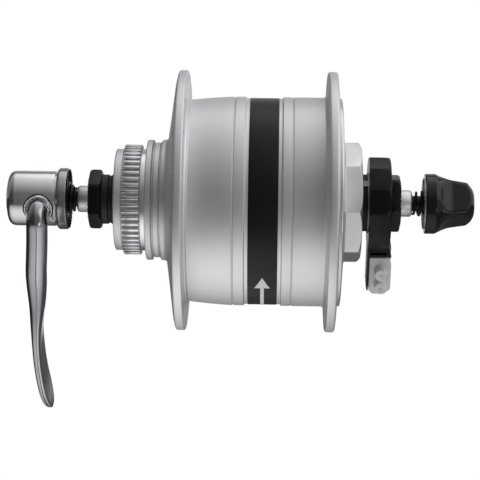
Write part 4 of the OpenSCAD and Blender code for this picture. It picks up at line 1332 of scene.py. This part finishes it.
@dataclass
class Studio:
    """White studio: backdrop, floor, soft boxes and the camera of the photograph.

    Attributes:
        camera_mm: place of the camera.
        target_mm: point that it looks at.
        roll_deg: turn of the picture.
        lens_mm: focal length.
        floor_z: height of the light table, in metres.
        pool_m: centre of the table's bright pool, in metres.
        pool_half: half widths of the pool.
        pool_level: brightness of the pool's middle.
        floor_seen: glow of the table to the camera.
        panels_m: x in metres and level along the table's two panels and the gap between them.
        room_levels: degrees above the camera's side and level round the room.
        room_left: how far to the left, and at what share, the room fades.
        backdrop_cone: reach of the white backdrop behind the object, in mirrors.
        glow_way: direction of a bright patch in the room.
        glow_cone: cosines of its rim and its full middle.
        glow_level: brightness of the patch.
    """

    camera_mm: Point3 = (9.6, -600.0, -12.6)
    target_mm: Point3 = (-1.26, 0.0, -12.6)
    roll_deg: float = 0.85
    lens_mm: float = 139.05
    floor_z: float = -0.12
    pool_m: Point = (-0.09, -0.05)
    pool_half: Point = (0.3, 0.18)
    pool_level: float = 1.24
    floor_seen: float = 0.6
    panels_m: Sequence[Point] = (
        (-0.3, 0.66), (-0.08, 0.66), (-0.076, 0.04), (-0.059, 0.04), (-0.054, 1.0), (0.1, 1.0),
    )
    room_levels: Sequence[Point] = (
        (-180, 0.1), (-5, 0.18), (20, 0.21), (49, 0.5), (85, 0.92), (100, 1.25), (119, 1.25), (126, 0.2),
        (180, 0.2),
    )
    room_left: Point = (-0.5, 0.28)
    backdrop_cone: Point = (0.994, 0.999)
    glow_way: Point3 = (0.68, -0.47, 0.57)
    glow_cone: Point = (0.86, 0.99)
    glow_level: float = 0.85

    def world(self) -> None:
        """White to the camera and behind the object, and a dim room under one long soft box."""
        world = bpy.data.worlds.new("studio_room")
        bpy.context.scene.world = world
        add = partial(add_node, bare_tree(world))
        path = add("ShaderNodeLightPath").outputs
        place = add("ShaderNodeTexCoord").outputs["Generated"]
        parts = add("ShaderNodeSeparateXYZ", {"Vector": place}).outputs
        front = add("ShaderNodeMath", {0: parts["Y"], 1: -1.0}, operation="MULTIPLY")
        height = add("ShaderNodeMath", {0: parts["Z"], 1: front}, operation="ARCTAN2")
        share = add("ShaderNodeMapRange", {"Value": height, "From Min": -math.pi, "From Max": math.pi})
        box = add("ShaderNodeValToRGB", {"Fac": share})
        fill_ramp(box, [((degrees + 180) / 360, level) for degrees, level in self.room_levels])
        rim, full = self.backdrop_cone
        behind = add("ShaderNodeMapRange", {"Value": parts["Y"], "From Min": rim, "From Max": full})
        mirrors = {0: path["Is Glossy Ray"], 1: path["Is Transmission Ray"]}
        shiny = add("ShaderNodeMath", mirrors, operation="MAXIMUM")
        backdrop = add("ShaderNodeMath", {0: shiny, 1: behind}, operation="MULTIPLY")
        seen = add("ShaderNodeMath", {0: path["Is Camera Ray"], 1: backdrop}, operation="MAXIMUM")
        left, dimmed = self.room_left
        fade = {"Value": parts["X"], "From Min": left, "From Max": 0.0, "To Min": dimmed}
        length = add("ShaderNodeMapRange", fade, interpolation_type="SMOOTHSTEP")
        ways = {0: place, 1: Vector(self.glow_way).normalized()}
        toward = add("ShaderNodeVectorMath", ways, operation="DOT_PRODUCT").outputs["Value"]
        rim, full = self.glow_cone
        patch = {"Value": toward, "From Min": rim, "From Max": full, "To Max": self.glow_level}
        glow = add("ShaderNodeMapRange", patch, interpolation_type="SMOOTHSTEP")
        level = add("ShaderNodeMath", {0: box, 1: length, 2: glow}, operation="MULTIPLY_ADD")
        room = add("ShaderNodeBackground", {"Color": level, "Strength": 1.0})
        white = add("ShaderNodeBackground", {"Color": linear("#ffffff"), "Strength": 1.0})
        mix = add("ShaderNodeMixShader", {0: seen, 1: room, 2: white})
        add("ShaderNodeOutputWorld", {"Surface": mix})

    def lamp(self, name: str, place: Point3, size: Point, radiance: float) -> None:
        """Set one soft box that faces the object.

        Args:
            name: lamp name.
            place: position in metres.
            size: width and height in metres.
            radiance: brightness of its face, where 1 is white.
        """
        data = bpy.data.lights.new(name, "AREA")
        data.shape = "RECTANGLE"
        data.size, data.size_y = size
        data.energy = math.pi * size[0] * size[1] * radiance
        lamp = in_scene(name, data)
        lamp.location = place
        lamp.rotation_euler = (-Vector(place)).to_track_quat("-Z", "Y").to_euler()

    def table_material(self) -> bpy.types.Material:
        """Return the opal acrylic of the light table, which fades out at the pool's rim."""
        half_x, half_y = self.pool_half
        cx, cy = self.pool_m
        material = bpy.data.materials.new("opal_acrylic_table")
        add = partial(add_node, bare_tree(material))
        camera = add("ShaderNodeLightPath").outputs["Is Camera Ray"]
        place = add("ShaderNodeTexCoord").outputs["Object"]
        centred = {
            "Vector": place,
            "Location": (-cx / half_x, -cy / half_y, -self.floor_z),
            "Scale": (1 / half_x, 1 / half_y, 1.0),
        }
        shrunk = add("ShaderNodeMapping", centred)
        pool = add("ShaderNodeTexGradient", {"Vector": shrunk}, gradient_type="SPHERICAL").outputs["Fac"]
        bright = {"Value": pool, "To Max": self.pool_level}
        soft = add("ShaderNodeMapRange", bright, interpolation_type="SMOOTHSTEP")
        along = add("ShaderNodeSeparateXYZ", {"Vector": place})
        first, last = self.panels_m[0][0], self.panels_m[-1][0]
        share = add("ShaderNodeMapRange", {"Value": along, "From Min": first, "From Max": last})
        panels = add("ShaderNodeValToRGB", {"Fac": share})
        fill_ramp(panels, [((x - first) / (last - first), level) for x, level in self.panels_m])
        lit = add("ShaderNodeMath", {0: soft, 1: panels}, operation="MULTIPLY")
        level = add("ShaderNodeMix", {"Factor": camera, "A": lit, "B": self.floor_seen}, data_type="FLOAT")
        paper = add("ShaderNodeBsdfDiffuse", {"Color": linear("#909090")})
        glow = add("ShaderNodeEmission", {"Color": linear("#ffffff"), "Strength": level})
        both = add("ShaderNodeAddShader", {0: paper, 1: glow})
        clear = add("ShaderNodeBsdfTransparent")
        edge = add("ShaderNodeMapRange", {"Value": pool, "From Min": 0.0, "From Max": 0.25})
        faded = add("ShaderNodeMixShader", {0: edge, 1: clear, 2: both})
        add("ShaderNodeOutputMaterial", {"Surface": faded})
        return material

    def floor(self) -> None:
        """Lay the pale light table below the object, brightest under it."""
        half_x, half_y = self.pool_half
        cx, cy = self.pool_m
        ends = ((-1, -1), (1, -1), (1, 1), (-1, 1))
        mesh = bpy.data.meshes.new("studio_floor")
        corners = [(cx + sx * half_x, cy + sy * half_y, self.floor_z) for sx, sy in ends]
        mesh.from_pydata(corners, [], [(0, 1, 2, 3)])
        floor = in_scene("studio_floor", mesh)
        mesh.materials.append(self.table_material())

    def camera(self) -> None:
        """Set the camera where the photograph was taken from."""
        data = bpy.data.cameras.new("photo_camera")
        data.lens = self.lens_mm
        data.sensor_width = 36.0
        data.clip_start = 0.01
        data.dof.use_dof = False
        camera = in_scene("photo_camera", data)
        place = Vector(self.camera_mm) * MM
        look = (Vector(self.target_mm) * MM - place).to_track_quat("-Z", "Y")
        camera.location = place
        camera.rotation_euler = (look @ Quaternion((0, 0, 1), math.radians(self.roll_deg))).to_euler()
        bpy.context.scene.camera = camera

    def build(self) -> None:
        """Build the studio."""
        bpy.context.scene.view_settings.view_transform = "Standard"
        self.world()
        self.floor()
        self.lamp("right_key", (1.0, -0.7, -0.05), (0.9, 1.1), 0.36)
        self.lamp("front_low", (0.5, -0.85, -0.45), (0.3, 0.3), 1.6)
        self.camera()


def main() -> None:
    logging.basicConfig(level=logging.INFO, format="%(name)s: %(message)s")
    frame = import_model()
    Studio().build()
    rings = RingTree()
    springs = SpringTree()
    HubShell(rings).build()
    EndCap().build()
    AxleSet(rings).build()
    Connector().build()
    QuickRelease(rings, springs).build()
    SkewerNut(rings, springs).build()
    Inside().dress(frame["nodes"])


if __name__ == "__main__":
    main()
